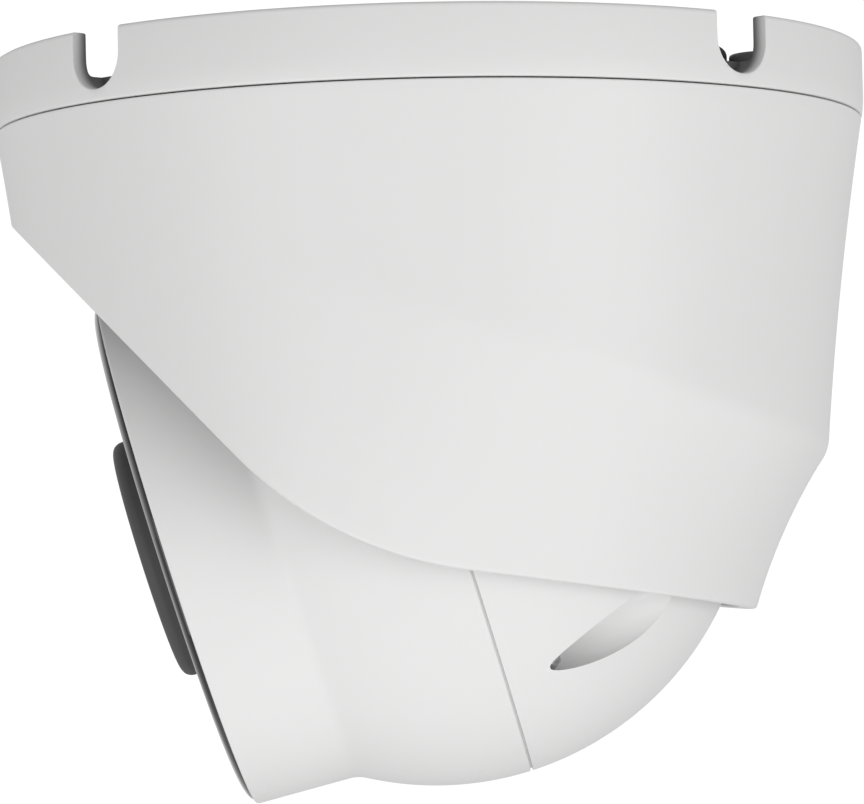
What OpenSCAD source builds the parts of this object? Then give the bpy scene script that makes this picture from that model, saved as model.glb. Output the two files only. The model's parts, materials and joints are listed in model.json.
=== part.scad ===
// Ceiling turret camera: a lens ball that pans, tilts and rolls under a fixed mounting base.
// Frame: origin in the middle of the ceiling face, +Z up into the ceiling, the lens looks towards -Y.
// Depths are measured down from the seam between the base and the shroud, or from the ball centre.

/* [Mounting base] */
// How far the base reaches out past the ball, in radius
base_margin = 15.2; // [14.8:0.1:20]
// Height of the base's side wall
base_h = 8.7; // [8.2:0.1:12]
// Thickness of the base's side wall
base_wall = 2.2; // [1.6:0.1:3]
// Thickness of the base's floor
base_floor_t = 2.5; // [1.8:0.1:3]
// Depth of the floor below the ceiling face
base_floor_depth = 5.3; // [4.8:0.1:5.7]
// Width of the four U-shaped notches in the side wall
notch_w = 8.2; // [5:0.1:9]
// Depth of the notches below the ceiling face
notch_depth = 7.25; // [6:0.05:7.6]
// Angle of the front notches from the side, towards the lens
notch_front_angle = 45.9; // [40:0.1:50]
// Angle of the rear notches from the side, away from the lens
notch_rear_angle = 42.8; // [38:0.1:50]
// Diameter of the mounting screw holes
screw_hole_d = 4.5; // [3.5:0.1:5.4]

/* [Pan bearing] */
// Outside diameter of the pan hub
pan_hub_d = 60; // [50:1:72]
// Wall of the pan hub, round the cable passage
pan_hub_wall = 5; // [4.4:0.1:7]
// Radial running clearance of the pan hub and of the roll journal
running_fit = 0.05; // [0.02:0.01:0.1]

/* [Shroud] */
// Gap of the seam between the base and the shroud
seam_gap = 0.3; // [0.25:0.05:0.6]
// How much smaller than the base the top of the shroud is, in radius
shroud_inset = 0.3; // [0.2:0.1:1]
// Thickness of the shroud's wall
shroud_wall = 2.2; // [1.6:0.1:2.8]
// Lean of the crease and of the neck below it
neck_lean = 16.8; // [14:0.1:18]
// Gap between the ball and the inside of the neck, behind the ball
neck_gap = 1.5; // [1.3:0.1:3]
// Gap between the ball and the inside of the neck, beside the ball
neck_side_gap = 1.9; // [1.5:0.1:4]
// Height of the crease above the ball centre, along the neck's axis
crease_rise = 15.6; // [12:0.2:17]
// Slope of the front stretch of the shroud's lower edge
rim_front_slope = 46.7; // [44:0.1:48]
// Slope of the rear stretch of the shroud's lower edge
rim_rear_slope = 7.9; // [5:0.1:9]
// Radius that joins the two stretches
rim_blend_r = 46; // [30:1:60]

/* [Ball] */
// Diameter of the ball
ball_d = 79.6; // [76:0.2:96]
// Room between the top of the ball and the seam
ball_headroom = 3.1; // [3:0.1:6]
// Wall of the ball's two housings
ball_wall = 2.6; // [2:0.1:3.2]
// Angle of the lens below the horizontal at rest
rest_tilt = 16.5; // [0:0.5:60]
// How much smaller than the ball the snout that carries the window is, in radius, at its front
snout_inset = 6.5; // [6:0.1:7.5]
// How far the snout's front edge stays behind the front of the full ball
snout_setback = 5.6; // [5:0.1:7]
// How far inside the ball's radius the housing screws stand
housing_screw_inset = 3.74; // [3.5:0.02:4.4]
// Diameter of the pockets for the housing screws
screw_pocket_d = 6.7; // [6.2:0.1:8.1]

/* [Optics and light] */
// Outside diameter of the ring round the lens
lens_ring_d = 30.8; // [28:0.2:37]
// Height of the lens ring above the window
lens_ring_h = 3.2; // [2.4:0.1:4]
// Diameter of the lens barrel's thread
barrel_d = 14; // [12:0.5:14]
// Thickness of the front window
window_t = 2.2; // [1.8:0.1:2.6]
// Radius of the circle that the light emitters stand on
led_circle_r = 21; // [20:0.5:22.5]

/* [Hidden] */

$fn = 96;
eps = 0.01;
play = 0.3;                          // usual gap between pieces that move past each other

seam_z = -(base_h + seam_gap);
ball_r = ball_d / 2;
ball_drop = ball_r + ball_headroom;
ball_z = seam_z - ball_drop;

// Base
base_r = ball_r + base_margin;
base_in_r = base_r - base_wall;
floor_top = -base_floor_depth;
floor_bottom = floor_top - base_floor_t;
screw_boss_r = screw_hole_d / 2 + 2.5;
screw_angles = [90, 210, 330];
rib_angles = [0, 180, 270];
rib_t = 1.5;
rib_drop = 1.5;                      // ribs stop this far below the ceiling face
notch_reach = 4;                     // how far a notch runs in from the outside

// Pan bearing, stacked up from the turret plate
pan_hub_r = pan_hub_d / 2;
pan_bore_r = pan_hub_r - pan_hub_wall;
collar_r = pan_hub_r + 5;            // outside of the washer and of the retainer ring
plate_t = 2;
plate_top = seam_z - 0.2;
plate_r = base_r - shroud_inset - shroud_wall - 0.5;
washer_t = 1.2;
washer_top = floor_top + washer_t;
retainer_t = 1.6;
retainer_bottom = washer_top + play;
retainer_top = retainer_bottom + retainer_t;
retainer_screw_r = (pan_hub_r + pan_bore_r) / 2;
gasket_in_r = collar_r + 1;
gasket_w = 2;
gasket_t = 1.2;
screw_circle_r = gasket_in_r + gasket_w + screw_boss_r + 0.25;

// Shroud: the wall above the crease is a curved draft down from the seam
draft_1 = 0.17;                      // slope of the wall at the seam
draft_2 = 0.0011;                    // how fast the slope eases off
crease_q = -crease_rise;
neck_rear_r = ball_r + neck_gap + shroud_wall;
neck_side_r = ball_r + neck_side_gap + shroud_wall;
shroud_top_r = base_r - shroud_inset;
function shroud_r(d) = shroud_top_r - draft_1 * d + draft_2 * d * d;
flange_t = 2;
flange_in_r = plate_r - 3.4;
plate_screw_r = (flange_in_r + plate_r) / 2;
plate_screw_angles = [20, 160, 270];
neck_sides = 60;                     // corners of the neck's outlines
neck_rear_flare = [[crease_q, 3.3], [-8, 1.35], [0, 0.45], [24, -0.6]];   // rear reach past neck_rear_r
rim_knee = [-12.4, -ball_drop - 11.2];   // where the two stretches of the edge would meet
rim_arc_steps = 14;

// Tilt yoke and its pins
yoke_in_r = ball_r + 0.4;
yoke_t = 1.5;
yoke_w = 14;
ear_r = 6.5;
ear_in = ball_r + 0.6;
ear_out = yoke_in_r + yoke_t + 0.4;
tilt_pin_r = 2.5;
tilt_washer_t = 0.6;
pin_boss_face = ear_out + tilt_washer_t + play;
pin_boss_r = 6;

// Roll journal behind the ball
pole_flat = ball_r - 2;              // the ball's back is cut flat here
pole_r = sqrt(ball_r * ball_r - pole_flat * pole_flat);
journal_r = 7.5;
hub_disc_r = pole_r + 0.6;
hub_disc_in = pole_flat + play;
hub_disc_out = hub_disc_in + 1.2;
clip_in = hub_disc_out + 0.2;
clip_out = clip_in + 1;
clip_r = 9.5;
journal_end = clip_out + 0.3;
gland_r = 4.6;
cable_r = 2.6;
gland_inner = pole_flat - 4.8;
gland_lip_r = gland_r + 1.4;

// Ball housings
seam_half = 0.15;                    // half the gap of the seam round the ball
cavity_r = ball_r - ball_wall;
flange_half = 4.75;                  // the joint flanges reach this far from the seam
housing_screw_r = ball_r - housing_screw_inset;
screw_at = housing_screw_r / sqrt(2);
pocket_r = screw_pocket_d / 2;
column_r = pocket_r + 1.6;
joint_bore_r = housing_screw_r - column_r - 0.11;
m3_r = 1.5;
m3_clear_r = 1.65;
thread_depth = 8;
seal_t = 0.8;
seal_r = joint_bore_r + 2 * seal_t;
snout_r = ball_r - snout_inset;
snout_front = ball_r - snout_setback;
snout_base_r = snout_r + 0.5;
snout_start = snout_front - 11.5;
blend_start = min(snout_start - 3.2, sqrt(pow(ball_r, 2) - pow(snout_base_r + 0.85, 2)));
snout_bore_r = snout_r - 1.9;
window_gap = 0.2;
window_r = snout_r - 0.35 - window_gap;
window_back = snout_front - 1.2;
window_face = window_back + window_t;
seat_t = 1.2;
seal_h = 0.6;
seat_front = window_back - seal_h;
seat_in_r = snout_bore_r - 1.9;
window_hole_r = 12.5;
shelf_front = window_back - 5.8;
shelf_back = shelf_front - 1.7;
shelf_in_r = snout_bore_r - 3.8;

// Optics and boards, placed along the lens axis from the ball centre
ring_r = lens_ring_d / 2;
ring_back = window_face + 0.1;
ring_front = window_face + lens_ring_h + 0.05;
spigot_r = window_hole_r - 0.1;
spigot_back = window_back - 0.8;
glass_r = 11.5;
glass_t = 1.5;
barrel_r = barrel_d / 2;
bell_r = 9.6;
bell_front = window_back - 0.4;
bell_back = bell_front - 6.6;
barrel_back = 12;
board_t = 1.6;
sensor_board_back = 6;
sensor_board_front = sensor_board_back + board_t;
sensor_board_w = 30;
main_board_r = joint_bore_r - 2;
main_board_front = -6.4;
main_board_back = main_board_front - board_t;
standoff_at = 11.5;
standoff_r = 2.4;
m2_r = 1;
m2_head_r = 1.7;
m2_head_h = 1.4;
foot_t = 1.5;
bracket_t = 1.5;
bracket_r = snout_bore_r - 0.4;
bracket_in_r = 13.2;
bracket_back = shelf_back - bracket_t;
bracket_screw_r = shelf_in_r + 1.7;
bracket_screw_angles = [90, 210, 330];
holder_w = 18;
holder_r = 8.6;
led_angles = [0, 180];
led_board_r = shelf_in_r - 0.4;
led_board_front = shelf_back + board_t;
led_cup_r = 4.6;

white = [0.9, 0.9, 0.9];
black = [0.06, 0.06, 0.07];
steel = [0.7, 0.71, 0.73];
green = [0.08, 0.3, 0.16];
rubber = [0.13, 0.13, 0.14];

// The lens axis: local +Z forward out of the lens, local +Y up, local origin at the ball centre.
module on_lens_axis() {
    translate([0, 0, ball_z]) rotate([90 + rest_tilt, 0, 0]) children();
}

// The neck's axis: local +Z down and forward along the lean, local -Y to the rear.
module on_neck_axis() {
    translate([0, 0, ball_z]) rotate([180 - neck_lean, 0, 0]) children();
}

module ring(r_out, r_in, z_low, z_high) {
    rotate_extrude() translate([r_in, z_low]) square([r_out - r_in, z_high - z_low]);
}

module post(r, z_low, z_high) {
    translate([0, 0, z_low]) cylinder(r = r, h = z_high - z_low);
}

module at_housing_screws() {
    for (sx = [-1, 1], sy = [-1, 1]) translate([sx * screw_at, sy * screw_at, 0]) children();
}

module at_standoffs() {
    for (sx = [-1, 1], sy = [-1, 1]) translate([sx * standoff_at, sy * standoff_at, 0]) children();
}

module around(angles, r) {
    for (a = angles) rotate([0, 0, a]) translate([r, 0, 0]) children();
}

// ---------------------------------------------------------------- base

module notch() {
    rotate([90, 0, 90]) translate([0, 0, base_r - notch_reach]) linear_extrude(notch_reach + 1) {
        translate([0, notch_w / 2 - notch_depth]) circle(d = notch_w);
        translate([-notch_w / 2, notch_w / 2 - notch_depth]) square([notch_w, notch_depth]);
    }
}

module mounting_base() {
    color(white) difference() {
        union() {
            rotate_extrude() polygon([
                [base_in_r, 0], [base_r - 0.4, 0], [base_r, -0.4],
                [base_r, -base_h + 1.8], [base_r - 0.15, -base_h], [base_in_r, -base_h]]);
            ring(base_in_r + eps, pan_hub_r + running_fit, floor_bottom, floor_top);
            ring(gasket_in_r + gasket_w, gasket_in_r, floor_top - eps, -gasket_t);
            around(screw_angles, screw_circle_r) post(screw_boss_r, floor_top - eps, 0);
            for (a = rib_angles) rotate([0, 0, a])
                translate([gasket_in_r + gasket_w / 2, -rib_t / 2, floor_top - eps])
                    cube([base_in_r - gasket_in_r - gasket_w / 2 + eps, rib_t, -rib_drop - floor_top]);
        }
        around(screw_angles, screw_circle_r) post(screw_hole_d / 2, floor_bottom - 1, 1);
        for (a = [-notch_front_angle, 180 + notch_front_angle, notch_rear_angle, 180 - notch_rear_angle])
            rotate([0, 0, a]) notch();
    }
}

module base_gasket() {
    color(rubber) ring(gasket_in_r + gasket_w, gasket_in_r, -gasket_t, 0);
}

module pan_washer() {
    color(black) ring(collar_r, pan_hub_r + play, floor_top, washer_top);
}

// ---------------------------------------------------------------- turret

// The neck is square to its leaning axis. Its outlines are taken at a place q along that axis.
// Depth below the seam at which the round wall, at a bearing from the rear, passes the plane at q.
function wall_depth(bearing, q, inset, d = 27, turns = 8) =
    turns == 0 ? d : wall_depth(bearing, q, inset,
        ball_drop - (-q - sin(neck_lean) * (shroud_r(d) - inset) * cos(bearing)) / cos(neck_lean),
        turns - 1);

// Where the round wall passes the plane at q: [sideways, ahead].
function wall_point(bearing, q, inset) =
    let (d = wall_depth(bearing, q, inset), r = shroud_r(d) - inset)
    [r * sin(bearing), (ball_drop - d) * sin(neck_lean) - r * cos(bearing) * cos(neck_lean)];

crease_rear = -wall_point(0, crease_q, 0)[1];
crease_front = wall_point(180, crease_q, 0)[1];
neck_middle = (crease_rear - crease_front) / 2;      // behind the leaning axis
neck_ahead_reach = crease_front + neck_middle;
crease_half_w = wall_point(98, crease_q, 0)[0];
neck_side_q = 13;                    // the neck has its stated half width here
fade_from = 70;                      // from this bearing forward the neck eases into the round wall
fade_to = 125;

function neck_half_w(q) =
    crease_half_w + (neck_side_r - crease_half_w) * (q - crease_q) / (neck_side_q - crease_q);

function ease(t) = t * t * (3 - 2 * t);

function fade(bearing) =
    ease(min(1, max(0, (min(bearing, 360 - bearing) - fade_from) / (fade_to - fade_from))));

// A point of the neck's outline: an oval behind and beside the ball, the round wall ahead of it.
function neck_point(bearing, q, rear, inset) =
    let (reach = cos(bearing) > 0 ? neck_rear_r + rear - neck_middle : neck_ahead_reach,
         oval = [(neck_half_w(q) - inset) * sin(bearing), -neck_middle - (reach - inset) * cos(bearing)])
    oval * (1 - fade(bearing)) + wall_point(bearing, q, inset) * fade(bearing);

// Half width beside the ball centre at the lower side of the pin bosses, which end inside the wall.
pin_bearing = acos(-neck_middle / neck_ahead_reach);
pin_boss_end = neck_point(pin_bearing, pin_boss_r, 0, 0)[0] - 0.4;
pin_end = pin_boss_end - 0.8;

function bearings() = [for (i = [0 : neck_sides - 1]) 360 * i / neck_sides];

module neck_slice(i, inset) {
    q = neck_rear_flare[i][0];
    translate([0, 0, i == 0 ? q - 0.2 : q]) linear_extrude(eps)
        polygon([for (b = bearings())
            i == 0 ? wall_point(b, q, inset) : neck_point(b, q, neck_rear_flare[i][1], inset)]);
}

// The leaning oval funnel below the crease.
module neck_body(inset) {
    on_neck_axis() for (i = [0 : len(neck_rear_flare) - 2]) hull() {
        neck_slice(i, inset);
        neck_slice(i + 1, inset);
    }
}

// The round wall above the crease.
module drum_body(inset, top) {
    depths = [top, 8, 16, 24, 32, 40, 48];
    intersection() {
        rotate_extrude() polygon(concat(
            [[0, seam_z - depths[0]]],
            [for (d = depths) [shroud_r(d) - inset, seam_z - d]],
            [[0, seam_z - depths[len(depths) - 1]]]));
        on_neck_axis() translate([-80, -80, crease_q - 100]) cube([160, 160, 100]);
    }
}

function line_point(from, slope, run) = [from[0] + run * cos(slope), from[1] - run * sin(slope)];

// Everything below the shroud's lower edge, as seen from the side.
module below_rim() {
    turn = rim_front_slope - rim_rear_slope;
    tangent = rim_blend_r * tan(turn / 2);
    start = line_point(rim_knee, rim_front_slope, -tangent);
    centre = [start[0] + rim_blend_r * sin(rim_front_slope), start[1] + rim_blend_r * cos(rim_front_slope)];
    arc = [for (i = [0 : rim_arc_steps])
        let (a = rim_front_slope - turn * i / rim_arc_steps)
        [centre[0] - rim_blend_r * sin(a), centre[1] - rim_blend_r * cos(a)]];
    rotate([90, 0, 90]) translate([0, seam_z, -80]) linear_extrude(160)
        polygon(concat([[-90, -120]], [line_point(rim_knee, rim_front_slope, -90)], arc,
            [line_point(rim_knee, rim_rear_slope, 90)], [[90, -120]]));
}

module shroud() {
    color(white) difference() {
        union() {
            difference() {
                union() {
                    drum_body(0, 0);
                    neck_body(0);
                }
                drum_body(shroud_wall, -1);
                neck_body(shroud_wall);
            }
            ring(plate_r + 0.6, flange_in_r, plate_top - plate_t - flange_t, plate_top - plate_t);
            for (s = [-1, 1]) scale([s, 1, 1]) translate([pin_boss_face, 0, ball_z])
                rotate([0, 90, 0]) cylinder(r = pin_boss_r, h = pin_boss_end - pin_boss_face);
        }
        below_rim();
        for (s = [-1, 1]) translate([s > 0 ? pin_boss_face - 1 : -pin_end, 0, ball_z])
            rotate([0, 90, 0]) cylinder(r = tilt_pin_r, h = pin_end - pin_boss_face + 1);
        around(plate_screw_angles, plate_screw_r) post(m2_r, plate_top - plate_t - flange_t - 1, seam_z);
    }
}

module turret_plate() {
    color(steel) difference() {
        union() {
            ring(plate_r, pan_bore_r, plate_top - plate_t, plate_top);
            ring(pan_hub_r, pan_bore_r, plate_top - eps, retainer_bottom);
        }
        translate([0, -screw_circle_r, 0]) post(screw_hole_d, plate_top - plate_t - 1, plate_top + 1);
        around(plate_screw_angles, plate_screw_r) post(m2_r, plate_top - plate_t - 1, plate_top + 1);
        around(screw_angles, retainer_screw_r) post(m2_r, retainer_bottom - 4.5, retainer_bottom + 1);
    }
}

module turret_plate_screws() {
    low = plate_top - plate_t - flange_t;
    color(steel) around(plate_screw_angles, plate_screw_r) {
        post(m2_r, low, plate_top);
        post(1.3, plate_top, plate_top + 0.9);
    }
}

module pan_retainer_ring() {
    color(steel) difference() {
        ring(collar_r, pan_bore_r, retainer_bottom, retainer_top);
        around(screw_angles, retainer_screw_r) post(m2_r, retainer_bottom - 1, retainer_top + 1);
    }
}

module retainer_screws() {
    color(steel) around(screw_angles, retainer_screw_r) {
        post(m2_r, retainer_bottom - 4.5, retainer_top);
        post(m2_head_r, retainer_top, retainer_top + 1);
    }
}

module tilt_pins() {
    color(steel) for (s = [-1, 1]) translate([s > 0 ? ball_r + play : -pin_end, 0, ball_z])
        rotate([0, 90, 0]) cylinder(r = tilt_pin_r, h = pin_end - ball_r - play);
}

// ---------------------------------------------------------------- yoke

module tilt_yoke() {
    color(steel) on_lens_axis() difference() {
        union() {
            intersection() {
                difference() {
                    sphere(r = yoke_in_r + yoke_t);
                    sphere(r = yoke_in_r);
                }
                union() {
                    translate([-60, -yoke_w / 2, -hub_disc_out]) cube([120, yoke_w, hub_disc_out]);
                    rotate([0, 90, 0]) cylinder(r = yoke_w / 2, h = 120, center = true);
                }
            }
            post(hub_disc_r, -hub_disc_out, -hub_disc_in);
            for (s = [-1, 1]) translate([s > 0 ? ear_in : -ear_out, 0, 0])
                rotate([0, 90, 0]) cylinder(r = ear_r, h = ear_out - ear_in);
        }
        post(journal_r + running_fit, -60, 0);
        post(60, -70, -hub_disc_out);
        rotate([0, 90, 0]) cylinder(r = tilt_pin_r + running_fit, h = 120, center = true);
    }
}

module tilt_washers() {
    color(black) for (s = [-1, 1]) translate([s > 0 ? ear_out : -ear_out - tilt_washer_t, 0, ball_z])
        rotate([0, 90, 0]) difference() {
            cylinder(r = ear_r - 0.5, h = tilt_washer_t);
            translate([0, 0, -1]) cylinder(r = tilt_pin_r + play, h = tilt_washer_t + 2);
        }
}

// ---------------------------------------------------------------- ball

module rear_housing() {
    color(white) on_lens_axis() difference() {
        union() {
            difference() {
                intersection() {
                    sphere(r = ball_r);
                    translate([-60, -60, -pole_flat]) cube([120, 120, pole_flat - seam_half]);
                }
                intersection() {
                    sphere(r = cavity_r, $fn = 80);
                    post(60, -pole_flat + ball_wall, -flange_half);
                }
                post(joint_bore_r, -flange_half - 1, 1);
            }
            post(journal_r, -journal_end, -pole_flat + ball_wall);
            intersection() {
                sphere(r = ball_r - 0.2);
                at_housing_screws() post(column_r, -ball_r, -flange_half + 1);
            }
        }
        at_housing_screws() {
            post(pocket_r, -ball_r - 1, -flange_half);
            post(m3_clear_r, -flange_half - 1, 1);
        }
        post(gland_r, -journal_end - 1, 0);
    }
}

module front_housing() {
    sphere_edge = sqrt(ball_r * ball_r - blend_start * blend_start);
    color(white) on_lens_axis() difference() {
        union() {
            intersection() {
                sphere(r = ball_r);
                post(60, seam_half, blend_start);
            }
            rotate_extrude() polygon([
                [0, blend_start - 1], [sphere_edge - 1, blend_start - 1], [sphere_edge, blend_start],
                [snout_base_r + 0.2, blend_start + 1.7], [snout_base_r, snout_start],
                [snout_r, snout_front - 0.3], [snout_r - 0.1, snout_front], [0, snout_front]]);
        }
        post(joint_bore_r, -1, flange_half + eps);
        difference() {
            union() {
                intersection() {
                    sphere(r = cavity_r);
                    post(60, flange_half, blend_start - 1);
                }
                post(snout_bore_r, flange_half, shelf_back);
            }
            at_housing_screws() post(m3_r + 2, flange_half - 1, flange_half + thread_depth - 2);
        }
        post(shelf_in_r, shelf_back - 1, shelf_front + 1);
        post(snout_bore_r, shelf_front, seat_front - seat_t);
        post(seat_in_r, seat_front - seat_t - 1, snout_front + 1);
        post(window_r + window_gap, seat_front, snout_front + 1);
        at_housing_screws() post(m3_r, 0, thread_depth);
        around(bracket_screw_angles, bracket_screw_r) post(m2_r, shelf_back - 1, shelf_front + 0.5);
    }
}

module housing_seal() {
    color(rubber) on_lens_axis() ring(seal_r + seal_t, seal_r - seal_t, -seam_half, seam_half);
}

module housing_screws() {
    color(steel) on_lens_axis() at_housing_screws() difference() {
        union() {
            post(m3_r, -flange_half, thread_depth - 1.5);
            post(2.75, -flange_half - 2.4, -flange_half);
        }
        translate([0, 0, -flange_half - 3]) cylinder(r = 1.45, h = 2.2, $fn = 6);
    }
}

module roll_retainer() {
    color(steel) on_lens_axis() difference() {
        ring(clip_r, journal_r, -clip_out, -clip_in);
        translate([-0.8, 0, -clip_out - 1]) cube([1.6, clip_r + 1, 3]);
    }
}

module cable_gland() {
    color(rubber) on_lens_axis() difference() {
        union() {
            post(gland_r, -journal_end - 0.2, -gland_inner);
            post(gland_lip_r, -pole_flat + ball_wall, -gland_inner);
        }
        post(cable_r, -journal_end - 1, -gland_inner + 1);
    }
}

// ---------------------------------------------------------------- window and lens

module front_window() {
    color(black) on_lens_axis() rotate_extrude() polygon([
        [window_hole_r, window_back], [window_r, window_back], [window_r, window_face - 0.75],
        [window_r - 0.55, window_face - 0.4], [window_r - 1.45, window_face - 0.1],
        [window_r - 2.2, window_face], [window_hole_r, window_face]]);
}

module window_seal() {
    color(rubber) on_lens_axis() ring(window_r - 0.1, seat_in_r + 0.3, seat_front, window_back);
}

module lens_ring() {
    color(black) on_lens_axis() rotate_extrude() polygon([
        [spigot_r, spigot_back], [spigot_r, ring_back], [ring_r, ring_back],
        [ring_r, ring_front - 1.15], [ring_r - 0.35, ring_front - 0.4], [ring_r - 1.2, ring_front],
        [ring_r - 2.2, ring_front], [glass_r - 0.9, ring_back + 0.7], [glass_r - 0.9, ring_back + 0.1],
        [glass_r + 0.05, ring_back + 0.1], [glass_r + 0.05, spigot_back]]);
}

module lens_cover_glass() {
    color([0.75, 0.8, 0.85, 0.4]) on_lens_axis() post(glass_r, ring_back + 0.1 - glass_t, ring_back + 0.1);
}

module lens_barrel() {
    color(black) on_lens_axis() rotate_extrude() polygon([
        [4.6, barrel_back], [barrel_r, barrel_back], [barrel_r, bell_back], [bell_r, bell_back],
        [bell_r, bell_front], [8.6, bell_front], [8.2, bell_front - 2.6], [5, bell_back],
        [5, barrel_back + 4], [4.6, barrel_back + 3]]);
}

module front_element() {
    color([0.35, 0.3, 0.5, 0.6]) on_lens_axis() intersection() {
        translate([0, 0, bell_front - 11.1]) sphere(r = 11.6);
        post(8.1, bell_front - 2.5, bell_front + 1);
    }
}

module rear_element() {
    color([0.5, 0.55, 0.6, 0.6]) on_lens_axis() post(4.55, barrel_back + 0.2, barrel_back + 2.4);
}

module lens_light_shield() {
    color(rubber) on_lens_axis() ring(glass_r, bell_r + 0.1, bell_front - 2.2, ring_back + 0.05 - glass_t);
}

module lens_holder() {
    half = holder_w / 2;
    color(black) on_lens_axis() difference() {
        union() {
            translate([-half, -half, sensor_board_front]) cube([holder_w, holder_w, 4.4]);
            post(holder_r, sensor_board_front + 4, 17);
        }
        translate([-6.5, -6.5, sensor_board_front - 1]) cube([13, 13, 5]);
        post(barrel_r + 0.02, 11.5, 18);
        post(5.5, sensor_board_front, 12);
    }
}

module ir_cut_filter() {
    color([0.35, 0.12, 0.16, 0.7]) on_lens_axis()
        translate([-6.2, -6.2, sensor_board_front + 2.2]) cube([12.4, 12.4, 1.2]);
}

module image_sensor() {
    color([0.2, 0.22, 0.25]) on_lens_axis()
        translate([-4.5, -3.5, sensor_board_front]) cube([9, 7, 1.1]);
}

// ---------------------------------------------------------------- boards and brackets

module sensor_board() {
    half = sensor_board_w / 2;
    color(green) on_lens_axis() difference() {
        translate([-half, -half, sensor_board_back]) cube([sensor_board_w, sensor_board_w, board_t]);
        at_standoffs() post(m2_r, sensor_board_back - 1, sensor_board_front + 1);
    }
}

module sensor_board_screws() {
    top = sensor_board_front + foot_t;
    color(steel) on_lens_axis() at_standoffs() {
        post(m2_r, sensor_board_back - 2.5, top);
        post(m2_head_r, top, top + m2_head_h);
    }
}

module board_standoffs() {
    color([0.75, 0.62, 0.32]) on_lens_axis() at_standoffs() difference() {
        translate([0, 0, main_board_front])
            cylinder(r = standoff_r, h = sensor_board_back - main_board_front, $fn = 6);
        post(m2_r, main_board_front - 1, main_board_front + 3);
        post(m2_r, sensor_board_back - 3, sensor_board_back + 1);
    }
}

module main_board() {
    color(green) on_lens_axis() difference() {
        post(main_board_r, main_board_back, main_board_front);
        at_standoffs() post(m2_r, main_board_back - 1, main_board_front + 1);
    }
}

module main_board_screws() {
    color(steel) on_lens_axis() at_standoffs() {
        post(m2_r, main_board_back, main_board_front + 2.5);
        post(m2_head_r, main_board_back - m2_head_h, main_board_back);
    }
}

module heat_spreader() {
    color([0.75, 0.76, 0.78]) on_lens_axis() {
        translate([-8, -8, main_board_back - 4]) cube([16, 16, 2]);
        for (i = [-3 : 3]) translate([-8, i * 2.4 - 0.5, main_board_back - 9]) cube([16, 1, 5 + eps]);
    }
}

module processor_shield() {
    color(steel) on_lens_axis() translate([-8.5, -8.5, main_board_back - 2]) cube([17, 17, 2]);
}

module network_header() {
    color([0.85, 0.83, 0.76]) on_lens_axis() translate([-7, 15.5, main_board_back - 5]) difference() {
        cube([14, 7, 5]);
        translate([1, 1, -1]) cube([12, 5, 4.5]);
    }
}

module camera_bracket() {
    color([0.75, 0.76, 0.78]) on_lens_axis() difference() {
        union() {
            ring(bracket_r, bracket_in_r, bracket_back, shelf_back);
            for (s = [-1, 1]) {
                translate([s > 0 ? 17 : -19, -7, sensor_board_front]) cube([2, 14, bracket_back - sensor_board_front + eps]);
                translate([s > 0 ? 9.4 : -19, -14.5, sensor_board_front]) cube([9.6, 29, foot_t]);
            }
        }
        at_standoffs() post(m2_r, sensor_board_front - 1, sensor_board_front + foot_t + 1);
        around(bracket_screw_angles, bracket_screw_r) post(m2_r, bracket_back - 1, shelf_back + 1);
    }
}

module bracket_screws() {
    color(steel) on_lens_axis() around(bracket_screw_angles, bracket_screw_r) {
        post(m2_r, bracket_back, shelf_front);
        post(1.6, bracket_back - m2_head_h, bracket_back);
    }
}

module led_board() {
    color([0.9, 0.9, 0.88]) on_lens_axis() ring(led_board_r, bracket_in_r, shelf_back, led_board_front);
}

module infrared_leds() {
    color([0.85, 0.85, 0.7]) on_lens_axis() around(led_angles, led_circle_r) {
        translate([-1.75, -1.75, led_board_front]) cube([3.5, 3.5, 1.2]);
        intersection() {
            translate([0, 0, led_board_front + 1.1]) sphere(r = 1.6);
            post(2, led_board_front + 1.1, led_board_front + 4);
        }
    }
}

module led_cups() {
    color(black) on_lens_axis() around(led_angles, led_circle_r) difference() {
        post(led_cup_r, led_board_front, window_back - 0.2);
        translate([0, 0, led_board_front + 0.5])
            cylinder(r1 = 2.9, r2 = led_cup_r - 0.5, h = window_back - led_board_front);
        post(2.7, led_board_front - 1, led_board_front + 1);
    }
}

module light_sensor() {
    color([0.3, 0.3, 0.32]) on_lens_axis() around([270], led_circle_r)
        translate([-1, -1.6, led_board_front]) cube([2, 3.2, 1.1]);
}

mounting_base();
base_gasket();
pan_washer();
shroud();
turret_plate();
turret_plate_screws();
pan_retainer_ring();
retainer_screws();
tilt_pins();
tilt_yoke();
tilt_washers();
rear_housing();
front_housing();
housing_seal();
housing_screws();
roll_retainer();
cable_gland();
front_window();
window_seal();
lens_ring();
lens_cover_glass();
lens_barrel();
front_element();
rear_element();
lens_light_shield();
lens_holder();
ir_cut_filter();
image_sensor();
sensor_board();
sensor_board_screws();
board_standoffs();
main_board();
main_board_screws();
heat_spreader();
processor_shield();
network_header();
camera_bracket();
bracket_screws();
led_board();
infrared_leds();
led_cups();
light_sensor();
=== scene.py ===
"""Ceiling turret security camera: the finished pieces, built round the fixed CAD frame."""
import json
import math

import bmesh
import bpy
from mathutils import Matrix, Vector


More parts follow.
